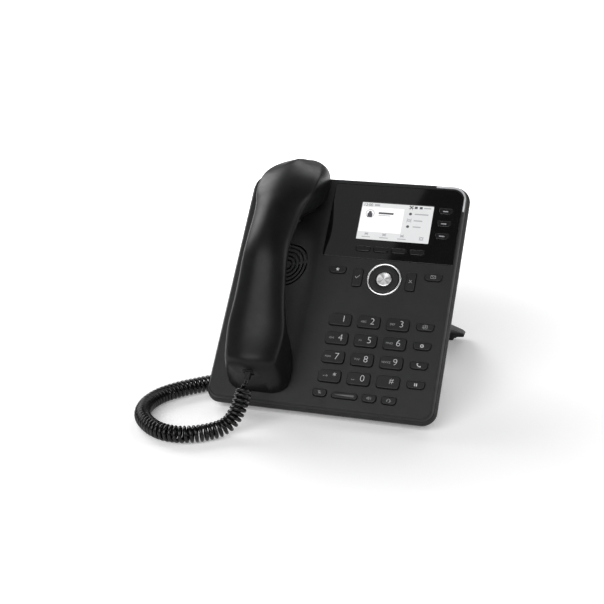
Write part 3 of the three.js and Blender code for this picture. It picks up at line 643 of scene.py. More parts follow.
MARK_PROUD = 0.035
MARK_ROOT = 0.06
DIGIT_HEIGHT = 5.5
LETTERS = {"2": "ABC", "3": "DEF", "4": "GHI", "5": "JKL", "6": "MNO", "7": "PQRS", "8": "TUV", "9": "WXYZ"}
for figure in "1234567890":
    on_key(f"key_{figure}", [moved(lettering(figure, DIGIT_HEIGHT, 0.02), 3.2, 0.5)], "print")
for figure, letters in LETTERS.items():
    on_key(f"key_{figure}", [moved(lettering(letters, 1.75), -4.2, -0.3)], "print_dim", "letters")
on_key("key_star", [moved(lettering("*", 3.0), 4.2, 1.4)], "print")
on_key("key_hash", [moved(lettering("#", 4.4, 0.014), 2.8, 0.7)], "print")
SPACE_BAR = ribbon([(-5.6, -0.9), (-5.6, -1.5), (-3.4, -1.5), (-3.4, -0.9)], 0.3)
on_key("key_0", [SPACE_BAR], "print_dim", "letters")
on_key("key_star", [
    moved(lettering("A", 1.35), -4.6, -0.5),
    ribbon([(-3.2, -0.6), (-2.2, 0.3), (-1.2, -0.6)], 0.3),
    bar(-2.2, -0.85, 0.8, 0.5),
], "print_dim", "letters")

on_key("directory_key", [
    frame_mark(0.2, 0, 3.4, 3.2), loop(0.55, 0.2, 0.5, 12, 0.3),
    ribbon([(-0.8, -0.9), (-0.4, -0.4), (0.8, -0.4), (1.2, -0.9)], 0.3),
    bar(-2.1, 0.8, 0.5, 0.4), bar(-2.1, -0.8, 0.5, 0.4),
], "print_mid")
GEAR = []
for i in range(8):
    angle = math.pi / 4 * i
    for reach, turn in ((1.1, -0.3), (1.65, -0.2), (1.65, 0.2), (1.1, 0.3)):
        GEAR.append((reach * math.cos(angle + turn), reach * math.sin(angle + turn)))
on_key("settings_key", [moved(ribbon(GEAR, 0.45, True), 0, 0, 0.8)], "print")
RECEIVER = [(-1.6, 1.3), (-1.5, 0.4), (-0.8, -0.6), (0.3, -1.3), (1.3, -1.4)]
on_key("transfer_key", [
    ribbon(RECEIVER, 0.5), patch(rounded_rect(-1.35, 1.1, 1.1, 1.0, 0.3, 3)),
    patch(rounded_rect(1.2, -1.2, 1.0, 1.1, 0.3, 3)),
], "print")
on_key("hold_key", [bar(-0.75, 0, 0.75, 2.6), bar(0.75, 0, 0.75, 2.6)], "print")
on_key("mute_key", [
    ribbon(rounded_rect(0, 0.45, 1.0, 1.7, 0.5, 4), 0.28, True),
    ribbon(arc(0, 0.3, 1.05, 180, 360, 8), 0.26), bar(0, -1.15, 0.28, 0.7),
    ribbon([(-1.5, 1.5), (1.5, -1.3)], 0.28),
], "print_mid")
WEDGE = [(-8.2, -0.12), (7.2, -0.95), (7.9, -0.7), (8.1, 0), (7.9, 0.7), (7.2, 0.95), (-8.2, 0.12)]
on_key("volume_rocker", [patch(WEDGE)], "print_wedge")
CONE = [(-1.6, -0.5), (-0.9, -0.5), (0, -1.2), (0, 1.2), (-0.9, 0.5), (-1.6, 0.5)]
on_key("speaker_key", [
    ribbon(CONE, 0.28, True), ribbon(arc(0.1, 0, 0.9, -50, 50, 6), 0.28),
    ribbon(arc(0.1, 0, 1.7, -50, 50, 8), 0.28),
], "print_mid")
on_key("headset_key", [
    ribbon(arc(0, -0.1, 1.3, 0, 180, 12), 0.3), patch(rounded_rect(-1.3, -0.5, 0.7, 1.2, 0.3, 3)),
    patch(rounded_rect(1.3, -0.5, 0.7, 1.2, 0.3, 3)), ribbon([(1.3, -1.0), (0.9, -1.6), (0.1, -1.6)], 0.26),
], "print_mid")
STAR = []
for i in range(10):
    reach = 0.72 if i % 2 else 1.75
    STAR.append((reach * math.sin(math.pi * i / 5), reach * math.cos(math.pi * i / 5)))
on_key("favourites_key", [patch(STAR)], "print")
on_key("message_key", [
    frame_mark(0, 0, 4.2, 2.8), ribbon([(-2.0, 1.3), (0, -0.2), (2.0, 1.3)], 0.3),
], "print_mid")
on_key("confirm_key", [ribbon([(-1.9, 0.4), (-0.6, -1.0), (2.0, 2.0)], 0.5)], "print_mid")
CROSS = [ribbon([(-1.3, -1.3), (1.3, 1.3)], 0.45), ribbon([(-1.3, 1.3), (1.3, -1.3)], 0.45)]
on_key("cancel_key", CROSS, "print_mid")
for i in range(3):
    on_key(f"line_key_{i + 1}", [patch(rounded_rect(0, 0, 4.6, 1.1, 0.4, 3))], "print_mid")


# ---- front cover: a shallow pan with the handset trough, rims round its holes and speaker slots ----
COVER_RIM = [(-2.2, -1.6), (-4.1, -1.2), (-4.1, 0.85), (-3.9, 1.0), (-1.8, 0.45), (-1.15, 0.22)]
COVER_RIM += [(-0.75, -0.06), (-0.4, -0.38), (-0.15, -0.68), (-0.02, -0.95), (0, -1.1), (0, -1.22)]
TROUGH = (
    HANDSET_X - CRADLE["half_width"], HANDSET_X + CRADLE["half_width"],
    CRADLE["bottom"], CRADLE["top"], 60, 100,
)


def trough_depth(x, y):
    across = min(1, abs(x - HANDSET_X) / CRADLE["half_width"])
    from_bottom, from_top = (y - CRADLE["bottom"]) / CRADLE["fade"], (CRADLE["top"] - y) / CRADLE["fade"]
    along = smooth_step(from_bottom) * smooth_step(from_top)
    return CRADLE["depth"] * math.cos(math.pi / 2 * across) ** 2 * along


def fascia_outline(outset):
    width, height = FASCIA["right"] - FASCIA["left"], FASCIA["top"] - FASCIA["bottom"]
    x, y = (FASCIA["right"] + FASCIA["left"]) / 2, (FASCIA["top"] + FASCIA["bottom"]) / 2
    radii = tuple(max(1, radius + outset) - outset for radius in (2, 2, 10, 2))
    return rounded_rect(x, y, width, height, radii, 8, outset)


def slot_arcs():
    slots = []
    for radius in SPEAKER["slots"]:
        for start in (9, 189):
            end = start + SPEAKER["sweep"]
            outer = arc(SPEAKER["x"], SPEAKER["y"], radius + SPEAKER["half"], start, end, 40)
            inner = arc(SPEAKER["x"], SPEAKER["y"], radius - SPEAKER["half"], end, start, 40)
            slots.append(slab(outer + inner, -14, 2))
    return slots


def edge_strip(grow):
    """The outer edge round the top right corner, for the message light."""
    corner_x, corner_y = FACE_WIDTH / 2 - FACE_RADII[1], FACE_HEIGHT - FACE_RADII[1]
    outer = FACE_RADII[1] + 3
    inner_x = FACE_RADII[1] - LIGHT["side_inset"] - grow
    inner_y = FACE_RADII[1] - LIGHT["top_inset"] - grow
    start_x, end_y = LIGHT["start_x"] - grow, LIGHT["end_y"] - grow
    outline = [(corner_x + inner_x, end_y), (corner_x + outer, end_y)]
    outline += arc(corner_x, corner_y, outer, 0, 90, 16)
    outline += [(start_x, corner_y + outer), (start_x, corner_y + inner_y)]
    outline += [(corner_x + inner_x * x, corner_y + inner_y * y) for x, y in arc(0, 0, 1, 90, 0, 16)]
    return slab(outline, LIGHT["low"] - grow, 3)


def build_front_cover():
    holes = []
    for name, key in KEYS.items():
        if key[6] == "key":
            holes.append(rim_hole(key_outline(name, GAP), -WALL))
    holes.append(rim_hole(lambda outset: circle(NAV["x"], NAV["y"], NAV["ring"] + GAP + outset, 96), -WALL))
    ledge = rim_hole(lambda outset: fascia_outline(GAP + outset), -1.7, 0.1, 0.12)
    ledge += [at(fascia_outline(-2.4), -1.7), at(fascia_outline(-2.4), -WALL)]
    holes.append(ledge)
    rim = grid_rim(*TROUGH, 0)
    under_rim = grid_rim(*TROUGH, -WALL)
    parts = plate(face_rings(COVER_RIM), holes, [rim], [under_rim])
    parts.append(height_grid(*TROUGH, lambda x, y: -trough_depth(x, y)))
    parts.append(height_grid(*TROUGH, lambda x, y: -trough_depth(x, y) - WALL))
    mesh = raw_mesh("front_cover", parts)
    tools = slot_arcs()
    plunger = rounded_rect(HANDSET_X, PLUNGER["y"], PLUNGER["width"], PLUNGER["height"], 2, 5, GAP)
    tools.append(slab(plunger, -14, 2))
    tools.append(slab(rounded_rect(HANDSET_X, TAB["y"], TAB["width"], TAB["height"], 0.5, 3, GAP), -6, 2))
    tools.append(edge_strip(GAP))
    mesh = combine("front_cover", mesh, tools)
    link("front_cover", placed(mesh), "base", "housing", ("front_housing",))


def build_message_light():
    solid = raw_mesh("message_light", [loft(face_rings([(-4.1, 0.8), *COVER_RIM[3:]]))])
    mesh = combine("message_light", solid, [edge_strip(0)], "INTERSECT")
    link("message_light_guide", placed(mesh), "base", "light", ("message_light",))


def window_outline(outset):
    width, height = SCREEN["width"] + 0.6, SCREEN["height"] + 0.6
    return rounded_rect(SCREEN["x"], SCREEN["y"], width, height, 0.6, 3, outset)


def build_fascia():
    rings = [at(fascia_outline(0), FASCIA["back"])]
    for inward, drop in quarter_round(RIM_STEPS):
        rings.append(at(fascia_outline(-0.2 * inward), -0.2 * drop))
    rings.append(at(fascia_outline(-0.45), 0))
    holes = [rim_hole(window_outline, FASCIA["back"], 0.25, 0.25)]
    for name, key in KEYS.items():
        if key[6] == "gloss_key":
            holes.append(rim_hole(key_outline(name, GAP), FASCIA["back"], 0.2, 0.25))
    mesh = raw_mesh("fascia", plate(rings, holes))
    link("gloss_fascia", placed(mesh), "base", "gloss", ("display_fascia",))


build_front_cover()
build_message_light()
build_fascia()


# ---- navigation cluster: polished ring, tilting disc and the spun button in its middle ----
def ring_profile(inner, outer, low, high, rim):
    profile = [(inner, low), (outer, low)]
    rounding = quarter_round(RIM_STEPS + 1)
    profile += [(outer - rim * inward, high - rim * drop) for inward, drop in rounding]
    profile += [(inner + rim * drop, high - rim * inward) for inward, drop in rounding]
    return profile


def build_navigation():
    x, y = NAV["x"], NAV["y"]
    ring = lathe(x, y, ring_profile(NAV["disc"] + 0.4, NAV["ring"], -1.9, 1.2, 0.75), 128, True)
    link("polished_ring", placed(raw_mesh("ring", [ring])), "base", "chrome", ("nav_ring",))
    key = lathe(x, y, ring_profile(NAV["button"] + 0.5, NAV["disc"], -2.2, 0.9, 0.7), 128, True)
    link("nav_disc", placed(raw_mesh("disc", [key])), "nav_key", "key", ("nav_key",))
    rocker = lathe(x, y, ring_profile(NAV["button"] + 0.6, 10.4, -4.1, -3.1, 0.2), 64, True)
    link("rocker_ring", placed(raw_mesh("rocker", [rocker])), "nav_rocker", "silicone", ("nav_rocker",))
    edge, top = 0.6, 1.3
    section = [(NAV["button"], -2.2)]
    for inward, drop in quarter_round(RIM_STEPS + 1):
        section.append((NAV["button"] - edge * inward, top - edge * drop))
    section += [(radius, top - 0.25 * (1 - (radius / 5.8) ** 2)) for radius in (5, 4, 3, 2, 1, 0.4)]
    mesh = raw_mesh("button", [lathe(0, 0, section)])
    mesh.transform(Matrix.Scale(0.001, 4))
    mark_sharp(mesh)
    obj = bpy.data.objects.new("spun_button", mesh)
    bpy.context.scene.collection.objects.link(obj)
    # Painted sheen: the material's lighter and darker colour sectors stand in for the button's reflections.
    mesh.materials.append(LOOK["spun"])
    obj.matrix_world = Matrix.Translation(CONSOLE @ Vector((x, y, 0))) @ Matrix.Rotation(TILT, 4, "X")
    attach(obj, "ok_button")
    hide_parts("ok_button")


build_navigation()


# ---- what the screen shows: flat lit shapes, with bars standing for words ----
def on_screen(name, parts, look, level):
    """Lights parts drawn in shares of the screen's width and height, from its top left corner."""
    left = SCREEN["x"] - SCREEN["width"] / 2
    top = SCREEN["y"] + SCREEN["height"] / 2
    bottom = SCREEN["z"] - 0.02 if level == 1 else SCREEN["z"] + SCREEN_STEP * (level - 1) - 0.01
    high = SCREEN["z"] + SCREEN_STEP * level
    vertices, faces = joined(parts)
    raised = [
        (left + SCREEN["width"] * x, top - SCREEN["width"] * y, high if k > 0.5 else bottom)
        for x, y, k in vertices
    ]
    link(name, placed(raw_mesh(name, [(raised, faces)])), "base", look)


def tile(left, top, right, bottom):
    return patch([(left, top), (right, top), (right, bottom), (left, bottom)])


SCREEN_STEP = 0.04
ASPECT = SCREEN["height"] / SCREEN["width"]
STATUS_END = 0.12 * ASPECT
STRIP_START = 0.8 * ASPECT
on_screen("screen_panel", [tile(0.005, STATUS_END, 0.6, STRIP_START - 0.003)], "screen_white", 1)
dark = [moved(lettering("12:00", 0.042), 0.09, 0.034)]
dark[0] = ([(x, 0.068 - y, k) for x, y, k in dark[0][0]], dark[0][1])
dark += [tile(x, 0.016, x + 0.04, 0.052) for x in (0.74, 0.81)]
dark += [ribbon(rounded_rect(0.695, 0.034, 0.038, 0.03, 0.006, 3), 0.009, True)]
dark += [tile(0.25, 0.14, 0.46, 0.168)]
dark += [patch(circle(0.13, 0.152, 0.023, 20)), patch(rounded_rect(0.13, 0.196, 0.07, 0.034, 0.015, 5))]
dark += [patch(circle(x, y, 0.021, 16)) for x, y in ((0.695, 0.135), (0.685, 0.33))]
on_screen("screen_figures", dark, "screen_dark", 2)
middle = [tile(0.175, 0.018, 0.25, 0.048), tile(0.25, 0.183, 0.42, 0.193)]
middle += [loop(0.058, 0.13, 0.168, 28, 0.009)]
middle += [tile(0.87, 0.024, 0.97, 0.044)]
middle += [ribbon(rounded_rect(0.69, 0.235, 0.06, 0.036, 0.006, 3), 0.008, True)]
for row, width in ((0.135, 0.19), (0.235, 0.12), (0.33, 0.11)):
    middle += [tile(0.755, row - 0.01, 0.755 + width, row + 0.008)]
for x in (0.13, 0.38, 0.63):
    middle += [patch(rounded_rect(x, 0.482, 0.045, 0.028, 0.01, 3)), tile(x - 0.06, 0.522, x + 0.06, 0.535)]
middle += [ribbon(rounded_rect(0.9, 0.5, 0.055, 0.05, 0.008, 3), 0.008, True)]
on_screen("screen_icons", middle, "screen_mid", 2)


# ---- rear housing: a pan with a jack recess, vents and stand slots ----
REAR_RIM = [(-32, -14), (-24, -6), (-14, 0.4), (-8.4, 3.3), (-6.2, 2.8), (-4.4, 1.2)]
REAR_CAVITY = [(-4.4, -0.9), (-8.2, 1.1), (-13.4, -1.8), (-22.8, -8), (-29.8, -15.4)]
RECESS = {"left": -62, "right": 62, "bottom": 28, "top": 60, "floor": -18}
JACK_Z = (-29.3, -18.3)
NETWORK_JACKS = (-2, 36)
HANDSET_JACKS = (-56, -30)
HOOK_XS = (-44, 44)


def build_rear_housing():
    outer = [(-32, -15.5), *softened(REAR_RIM, 1.2, 4), (-4.4, 1.1), (-4.4, 0.7), (-4.4, -0.7)]
    inner = softened(REAR_CAVITY, 0.8, 3)
    mesh = raw_mesh("rear", [loft(face_rings(outer + inner))])
    tub = box(RECESS["left"] - WALL, RECESS["right"] + WALL, RECESS["bottom"] - WALL, RECESS["top"] + WALL,
              -31, RECESS["floor"] + WALL)
    mesh = combine("rear", mesh, [tub], "UNION")
    recess = rounded_rect(0, 44, RECESS["right"] - RECESS["left"], RECESS["top"] - RECESS["bottom"], 1.2, 5)
    tools = [slab(recess, -40, RECESS["floor"])]
    for left, right in (NETWORK_JACKS, HANDSET_JACKS):
        tools.append(box(left - GAP, right + GAP, RECESS["top"] - 1, RECESS["top"] + WALL + 1,
                         JACK_Z[0] - GAP, JACK_Z[1] + GAP))
    for i in range(9):
        tools.append(slab(rounded_rect(-24 + 6 * i, 154, 2.4, 28, 1.15, 6), -36, -26))
    tools += [slab(rounded_rect(x, 104, 15, 6, 0.6, 3), -36, -26) for x in HOOK_XS]
    mesh = combine("rear", mesh, tools)
    link("rear_shell", placed(mesh), "base", "housing", ("rear_housing",))


# ---- stand: a raked arch clipped to the back, in the desk frame ----
def back_point(y, offset):
    z = -32 - offset
    return (y * math.cos(TILT) - z * math.sin(TILT), y * math.sin(TILT) + z * math.cos(TILT))


def build_stand():
    side = [back_point(88, 0.4), back_point(88, 3.4), back_point(99, 4.9), (196, -5.9), (196, -11)]
    side += [(204.6, -11), (206.4, -9.4), (204.9, -7)]
    side += [back_point(107, 7.4), back_point(112, 3.4), back_point(112, 0.4)]
    smooth = softened([side[-1], *side, side[0]], 0.7, 4)[1:-1]
    mesh = raw_mesh("stand", [loft([[(x, y, z) for y, z in smooth] for x in (-90, 90)])])
    half = [(80, -15), (81, -9.8), (88, -9), (88, 0), (60, 72)]
    width = [(-80, -15), *half, *((-x, z) for x, z in half[:0:-1])]
    width = softened([width[-1], *width, width[0]], 0.8, 4)[1:-1]
    sweep = loft([[(x, y, z) for x, z in width] for y in (60, 215)])
    mesh = combine("stand", mesh, [sweep], "INTERSECT")
    arch = softened([(-40, 28), (-52, -20), (52, -20), (40, 28), (-40, 28), (-52, -20)], 6, 6)[1:-1]
    mesh = combine("stand", mesh, [loft([[(x, y, z) for x, z in arch] for y in (110, 215)])])
    turn = Matrix.Rotation(TILT, 4, "X")
    hooks = []
    for x in HOOK_XS:
        vertices, faces = slab(rounded_rect(x, 104, 13.6, 4, 0.5, 3), -33.2, -27)
        hooks.append(([turn @ Vector(v) for v in vertices], faces))
    mesh = combine("stand", mesh, hooks, "UNION")
    link("raked_stand", placed(mesh, DESK), "base", "housing", ("stand",))


def build_feet():
    feet = {
        "front_foot_left": (-68, 27, 20, 9.6, -12.7), "front_foot_right": (68, 27, 20, 9.6, -12.7),
        "stand_foot_left": (-70, 200.6, 16, 8, -11.3), "stand_foot_right": (70, 200.6, 16, 8, -11.3),
    }
    for name, (x, y, width, depth, high) in feet.items():
        levels = [(-14, -0.6), (-13.9, -0.3), (-13.6, -0.05), (-13.3, 0), (high, 0)]
        rings = [at(rounded_rect(x, y, width, depth, 2, 6, outset), z) for z, outset in levels]
        link(f"{name}_pad", placed(raw_mesh(name, [loft(rings)]), DESK), "base", "rubber", (name,))


def contacts(left, right, sockets, count, pitch, depth):
    """Sprung wires that slant back from each socket's mouth."""
    bottom = RECESS["top"] + 0.2
    step = (right - left) / sockets
    parts = []
    for i in range(sockets):
        middle = left + step * (i + 0.5)
        for k in range(count):
            x = middle + pitch * (k - (count - 1) / 2)
            rise = ribbon([(bottom + 1.5, JACK_Z[1] - 2), (bottom + depth, JACK_Z[1] - 4.2)], 0.3)
            parts.append(([(x - 0.17 + 0.34 * level, y, z) for y, z, level in rise[0]], rise[1]))
    return parts


build_rear_housing()
build_stand()
build_feet()
wires = contacts(*NETWORK_JACKS, 2, 8, 1.02, 9) + contacts(*HANDSET_JACKS, 2, 4, 1.02, 8)
link("jack_contacts", placed(raw_mesh("jack_contacts", wires)), "base", "gold")


# ---- handset ----
def profile(points):
    """A smooth function through (place, value) pairs, flat at both ends."""
    def slope(i):
        if i in (0, len(points) - 1):
            return 0
        return (points[i + 1][1] - points[i - 1][1]) / (points[i + 1][0] - points[i - 1][0])

    def value(place):
        if place <= points[0][0]:
            return points[0][1]
        if place >= points[-1][0]:
            return points[-1][1]
        i = next(k for k, point in enumerate(points) if point[0] > place)
        (x0, y0), (x1, y1) = points[i - 1], points[i]
        span = x1 - x0
        t = (place - x0) / span
        first = y0 * (1 + 2 * t) * (1 - t) ** 2 + slope(i - 1) * span * t * (1 - t) ** 2
        return first + y1 * t * t * (3 - 2 * t) + slope(i) * span * t * t * (t - 1)

    return value


WAIST = profile([(22, 26.9), (50, 25.7), (72, 22.5), (112, 20), (140, 20.6), (168, 22.8), (198, 27)])
RIDGE = profile([
    (7, 38), (46, 40), (78, 49), (111, 57.5), (154, 49.5), (184, 44.6), (199, 40.2),
    (207.8, 34.5), (215.3, 25.5), (220.5, 16), (225, 8),
])
CREST = profile([
    (7, 43), (46, 45.5), (78, 54.5), (111, 63), (154, 57.2), (166.3, 54.9), (192.8, 51.5), (202.1, 47.2),
    (209.5, 42), (216.4, 35.8), (221, 31), (225, 25.8),
])
SEAM = profile([
    (26, 1.2), (40, 8), (54, 27), (70, 40), (111, 46.5), (142, 43), (158, 32), (172, 17), (190, 2.5),
])
BELLY = profile([
    (28, -9), (42, 0), (54, 16), (66, 27), (84, 33), (111, 35), (136, 33), (152, 24), (166, 10), (182, -9),
])
MOUTH_START, MOUTH_POWER = 24, 3.1
EAR_START, EAR_POWER = 202, 2.25
END_ROUNDING = 0.97
TIP_ROLL = 7
MOUTH_DRAFT = 3.8
SEAM_GAP = 0.8
EASED_POINTS = 22
EASING_ROUNDS = 30
EAR_CUP = (182, 13.5)
MOUTH_CUP = (33, 8)


def half_width(y, inset):
    mouth = max(0, (MOUTH_START - y) / (MOUTH_START - HANDSET_BOTTOM - inset))
    ear = max(0, (y - EAR_START) / (HANDSET_TOP - inset - EAR_START))

    def rounding(t, power):
        return (1 - (END_ROUNDING * min(1, t)) ** power) ** (1 / power)

    return (WAIST(y) - inset) * rounding(mouth, MOUTH_POWER) * rounding(ear, EAR_POWER)


def leaned(y, z):
    """Both ends lean in towards the top, the ear end the most."""
    mouth_lean = 0.22 * (1 - smooth_step((y - 10) / 50))
    ear_lean = -0.5 * smooth_step((y - 150) / 50)
    return y + (mouth_lean + ear_lean) * max(0, z - 3)


def stations(inset):
    """Places up the handset, closest together where its ends round off."""
    bottom, top = HANDSET_BOTTOM + inset, HANDSET_TOP - inset
    result = []
    for i in range(20):
        angle = math.pi / 2 * (1 - i / 20)
        result.append(MOUTH_START - (MOUTH_START - bottom) * math.sin(angle) ** (2 / MOUTH_POWER))
    result += [lerp(MOUTH_START, EAR_START, i / 64) for i in range(64)]
    for i in range(23):
        angle = math.pi / 2 * i / 22
        result.append(EAR_START + (top - EAR_START) * math.sin(angle) ** (2 / EAR_POWER))
    return result


def roll_off(y):
    """How far the top's middle line drops as it turns down over either end."""
    near = min(y - HANDSET_BOTTOM, HANDSET_TOP - y)
    if near >= TIP_ROLL:
        return 0
    return TIP_ROLL - math.sqrt(max(0, TIP_ROLL ** 2 - (TIP_ROLL - near) ** 2))


def outer_half(y, inset):
    """Right half of the outer section, from the crest down to the seam."""
    foot = half_width(y, inset)
    fullness = foot / (WAIST(y) - inset)
    half = foot - MOUTH_DRAFT * (1 - smooth_step((y - 12) / 45)) * fullness
    roll = roll_off(y)
    top = CREST(y) - inset - roll
    edge = min(top - 0.5, RIDGE(y) - inset * 0.5 - roll * (1 if y < 100 else 0.25))
    low = SEAM(y)
    turn = min(5, half * 0.4)
    flat = half - turn
    points = [(flat * t, top - (top - edge) * t ** 2.2) for t in (i / 14 for i in range(15))]
    steep = 2.2 * (top - edge) / flat
    start, end = Vector((flat, edge)), Vector((half, max(low + 0.6, edge - 1.1 * turn)))
    pull = Vector((1, -steep)).normalized() * turn * 0.5
    lift = Vector((0, turn * 0.5))
    for i in range(1, 9):
        t = i / 8
        a, b, c = start.lerp(start + pull, t), (start + pull).lerp(end + lift, t), (end + lift).lerp(end, t)
        points.append(tuple(a.lerp(b, t).lerp(b.lerp(c, t), t)))
    foot -= max(0, SEAM(y) - 6) * 0.09 * fullness
    for t in (0.33, 0.66, 1):
        points.append((lerp(half, foot, t), lerp(end.y, low + 0.3, t)))
    points.append((foot - 0.12, low + 0.06))
    points.append((foot - 0.35, low))
    return points


def mirrored(half, y):
    left = [(-x, z) for x, z in half[:0:-1]]
    return [(HANDSET_X + x, leaned(y, z), z) for x, z in [*half, *left]]


def eased(rings):
    """Evens out the upper part of every ring, leaving the seam and both end rings alone."""
    count = len(rings[0])
    movable = [j for j in range(count) if j <= EASED_POINTS or j >= count - EASED_POINTS]
    rings = [[Vector(point) for point in ring] for ring in rings]
    for _ in range(EASING_ROUNDS):
        fresh = [list(ring) for ring in rings]
        for i in range(1, len(rings) - 1):
            for j in movable:
                here, total, weight = rings[i][j], Vector((0, 0, 0)), 0
                for near in (rings[i - 1][j], rings[i + 1][j], rings[i][j - 1], rings[i][(j + 1) % count]):
                    share = 1 / max(0.05, (near - here).length)
                    total += near * share
                    weight += share
                fresh[i][j] = here.lerp(total / weight, 0.6)
        rings = fresh
    return [[tuple(point) for point in ring] for ring in rings]


def outer_shell(inset, deepen):
    rings = []
    for y in stations(inset):
        half = outer_half(y, inset)
        if deepen:
            half = [*half[:-2], (half[-3][0], half[-3][1] - deepen)]
        rings.append(mirrored(half, y))
    return loft(eased(rings))


def inner_shell():
    rings = []
    for y in stations(1.5):
        edge = SEAM(y) - SEAM_GAP
        reach = max(0.5, outer_half(y, 0)[-3][0] - 0.6)
        points = [(0, edge), (reach - 0.3, edge), (reach, edge - 0.25)]
        for t in (0.98, 0.95, 0.9, 0.84, 0.77, 0.68, 0.58, 0.46, 0.32, 0.16, 0):
            x = reach * t
            rounded = edge - (edge - BELLY(y)) * (1 - t ** 3)
            floor = -trough_depth(HANDSET_X + x, y) + 1.1
            points.append((x, min(edge - 0.35, max(rounded, floor))))
        left = [(-x, z) for x, z in points[-2:0:-1]]
        rings.append([(HANDSET_X + x, leaned(y, z), z) for x, z in [*points, *left]])
    return loft(rings)


def grille_holes(y, rows):
    """Small bores under the earpiece or the microphone, on a triangular pitch."""
    holes = []
    for row in range(-rows, rows + 1):
        for k in range(-rows, rows + 1):
            x, dy = 2.8 * (k + row / 2), 2.42 * row
            if math.hypot(x, dy) < 2.8 * rows + 0.1:
                holes.append(slab(circle(HANDSET_X + x, y + dy, 0.6, 12), -12, 1))
    return holes


def build_handset():
    mesh = raw_mesh("handset_back", [outer_shell(0, 0)])
    mesh = combine("handset_back", mesh, [outer_shell(2, 12)])
    socket = box(HANDSET_X - 4.3, HANDSET_X + 4.3, 6, 24, PLUG_Z - 3.8, PLUG_Z + 3.8)
    mesh = combine("handset_back", mesh, [socket])
    link("handset_back", placed(mesh, CONSOLE, 40), "handset", "handset", ("handset_outer",))
    mesh = raw_mesh("handset_front", [inner_shell()])
    tools = [
        slab(circle(HANDSET_X, EAR_CUP[0], EAR_CUP[1], 48), -1, 30),
        slab(circle(HANDSET_X, MOUTH_CUP[0], MOUTH_CUP[1], 36), -1, 20),
        slab(rounded_rect(HANDSET_X, TAB["y"], 12, 7.4, 1, 4), -4, 3.2),
    ]
    mesh = combine("handset_front", mesh, tools)
    mesh = combine("handset_front", mesh, grille_holes(EAR_CUP[0], 3) + grille_holes(MOUTH_CUP[0], 1))
    link("handset_front", placed(mesh, CONSOLE, 40), "handset", "handset", ("handset_inner",))


build_handset()


# ---- handset cord: the points repeat the CAD route, in the desk frame ----
COIL_ROUTE = [
    (-52.25, -17.5, 25.1), (-52.4, -21.2, 21.2), (-53.3, -26.6, 14.6), (-55.4, -32.4, 5.6),
    (-59.4, -38.6, -2), (-65, -43.5, -5.8), (-72, -49.5, -6.9), (-82, -56.7, -6.9), (-93, -61, -6.9),
    (-108, -60.5, -6.9), (-123, -52.5, -6.9), (-135.5, -38.5, -6.9), (-140.5, -20, -6.9),
    (-137, -1, -6.9), (-127.5, 14, -6.9), (-115.5, 26, -6.9), (-104, 36, -6.9), (-91.5, 45.5, -6.9),
    (-79, 53.5, -6.9), (-66, 60.5, -6.9),
]
TAIL_ROUTE = [
    (-64.9, 60.9, -7), (-58.5, 61, -8.4), (-53, 57.2, -9), (-50.3, 51, -6.5), (-49.5, 45.6, -1),
    (-49.5, 43.6, 4), (-49.5, 44.6, 9.4), (-49.5, 47.2, 14), (-49.5, 50.4, 17.6),
]
COIL_RADIUS = 7
WIRE_RADIUS = 1.5
COIL_PITCH = 3.8
STEPS_PER_TURN = 16
COIL_STRAIGHT = 1.5
COIL_GROWTH = 9.0


def spline(points, step):
    """Evenly spaced points on a centripetal Catmull-Rom curve."""
    points = [Vector(p) for p in points]
    padded = [2 * points[0] - points[1], *points, 2 * points[-1] - points[-2]]
    dense = []
    for p0, p1, p2, p3 in zip(padded, padded[1:], padded[2:], padded[3:]):
        t0 = 0.0
        t1 = t0 + math.sqrt((p1 - p0).length)
        t2 = t1 + math.sqrt((p2 - p1).length)
        t3 = t2 + math.sqrt((p3 - p2).length)
        for i in range(40):
            t = lerp(t1, t2, i / 40)
            a1 = p0.lerp(p1, (t - t0) / (t1 - t0))
            a2 = p1.lerp(p2, (t - t1) / (t2 - t1))
            a3 = p2.lerp(p3, (t - t2) / (t3 - t2))
            b1 = a1.lerp(a2, (t - t0) / (t2 - t0))
            b2 = a2.lerp(a3, (t - t1) / (t3 - t1))
            dense.append(b1.lerp(b2, (t - t1) / (t2 - t1)))
    dense.append(points[-1])
    lengths = [0.0]
    for a, b in zip(dense, dense[1:]):
        lengths.append(lengths[-1] + (b - a).length)
    count = max(2, round(lengths[-1] / step))
    result = []
    index = 0
    for i in range(count + 1):
        wanted = lengths[-1] * i / count
        while index < len(lengths) - 2 and lengths[index + 1] < wanted:
            index += 1
        span = lengths[index + 1] - lengths[index]
        result.append(dense[index].lerp(dense[index + 1], (wanted - lengths[index]) / span))
    return result


def frames_along(points):
    """A tangent and two steady normals at each point of a line."""
    frames = []
    side = None
    for i, point in enumerate(points):
        tangent = (points[min(i + 1, len(points) - 1)] - points[max(i - 1, 0)]).normalized()
        if side is None:
            side = tangent.orthogonal().normalized()
        side = (side - tangent * side.dot(tangent)).normalized()
        frames.append((point, tangent, side, tangent.cross(side)))
    return frames


def tube(points, radius, sides):
    rings = []
    for point, _, across, up in frames_along(points):
        ring = []
        for i in range(sides):
            angle = 2 * math.pi * i / sides
            ring.append(point + radius * (math.cos(angle) * across + math.sin(angle) * up))
        rings.append(ring)
    return loft(rings)


def route_length(points):
    return sum((b - a).length for a, b in zip(points, points[1:]))


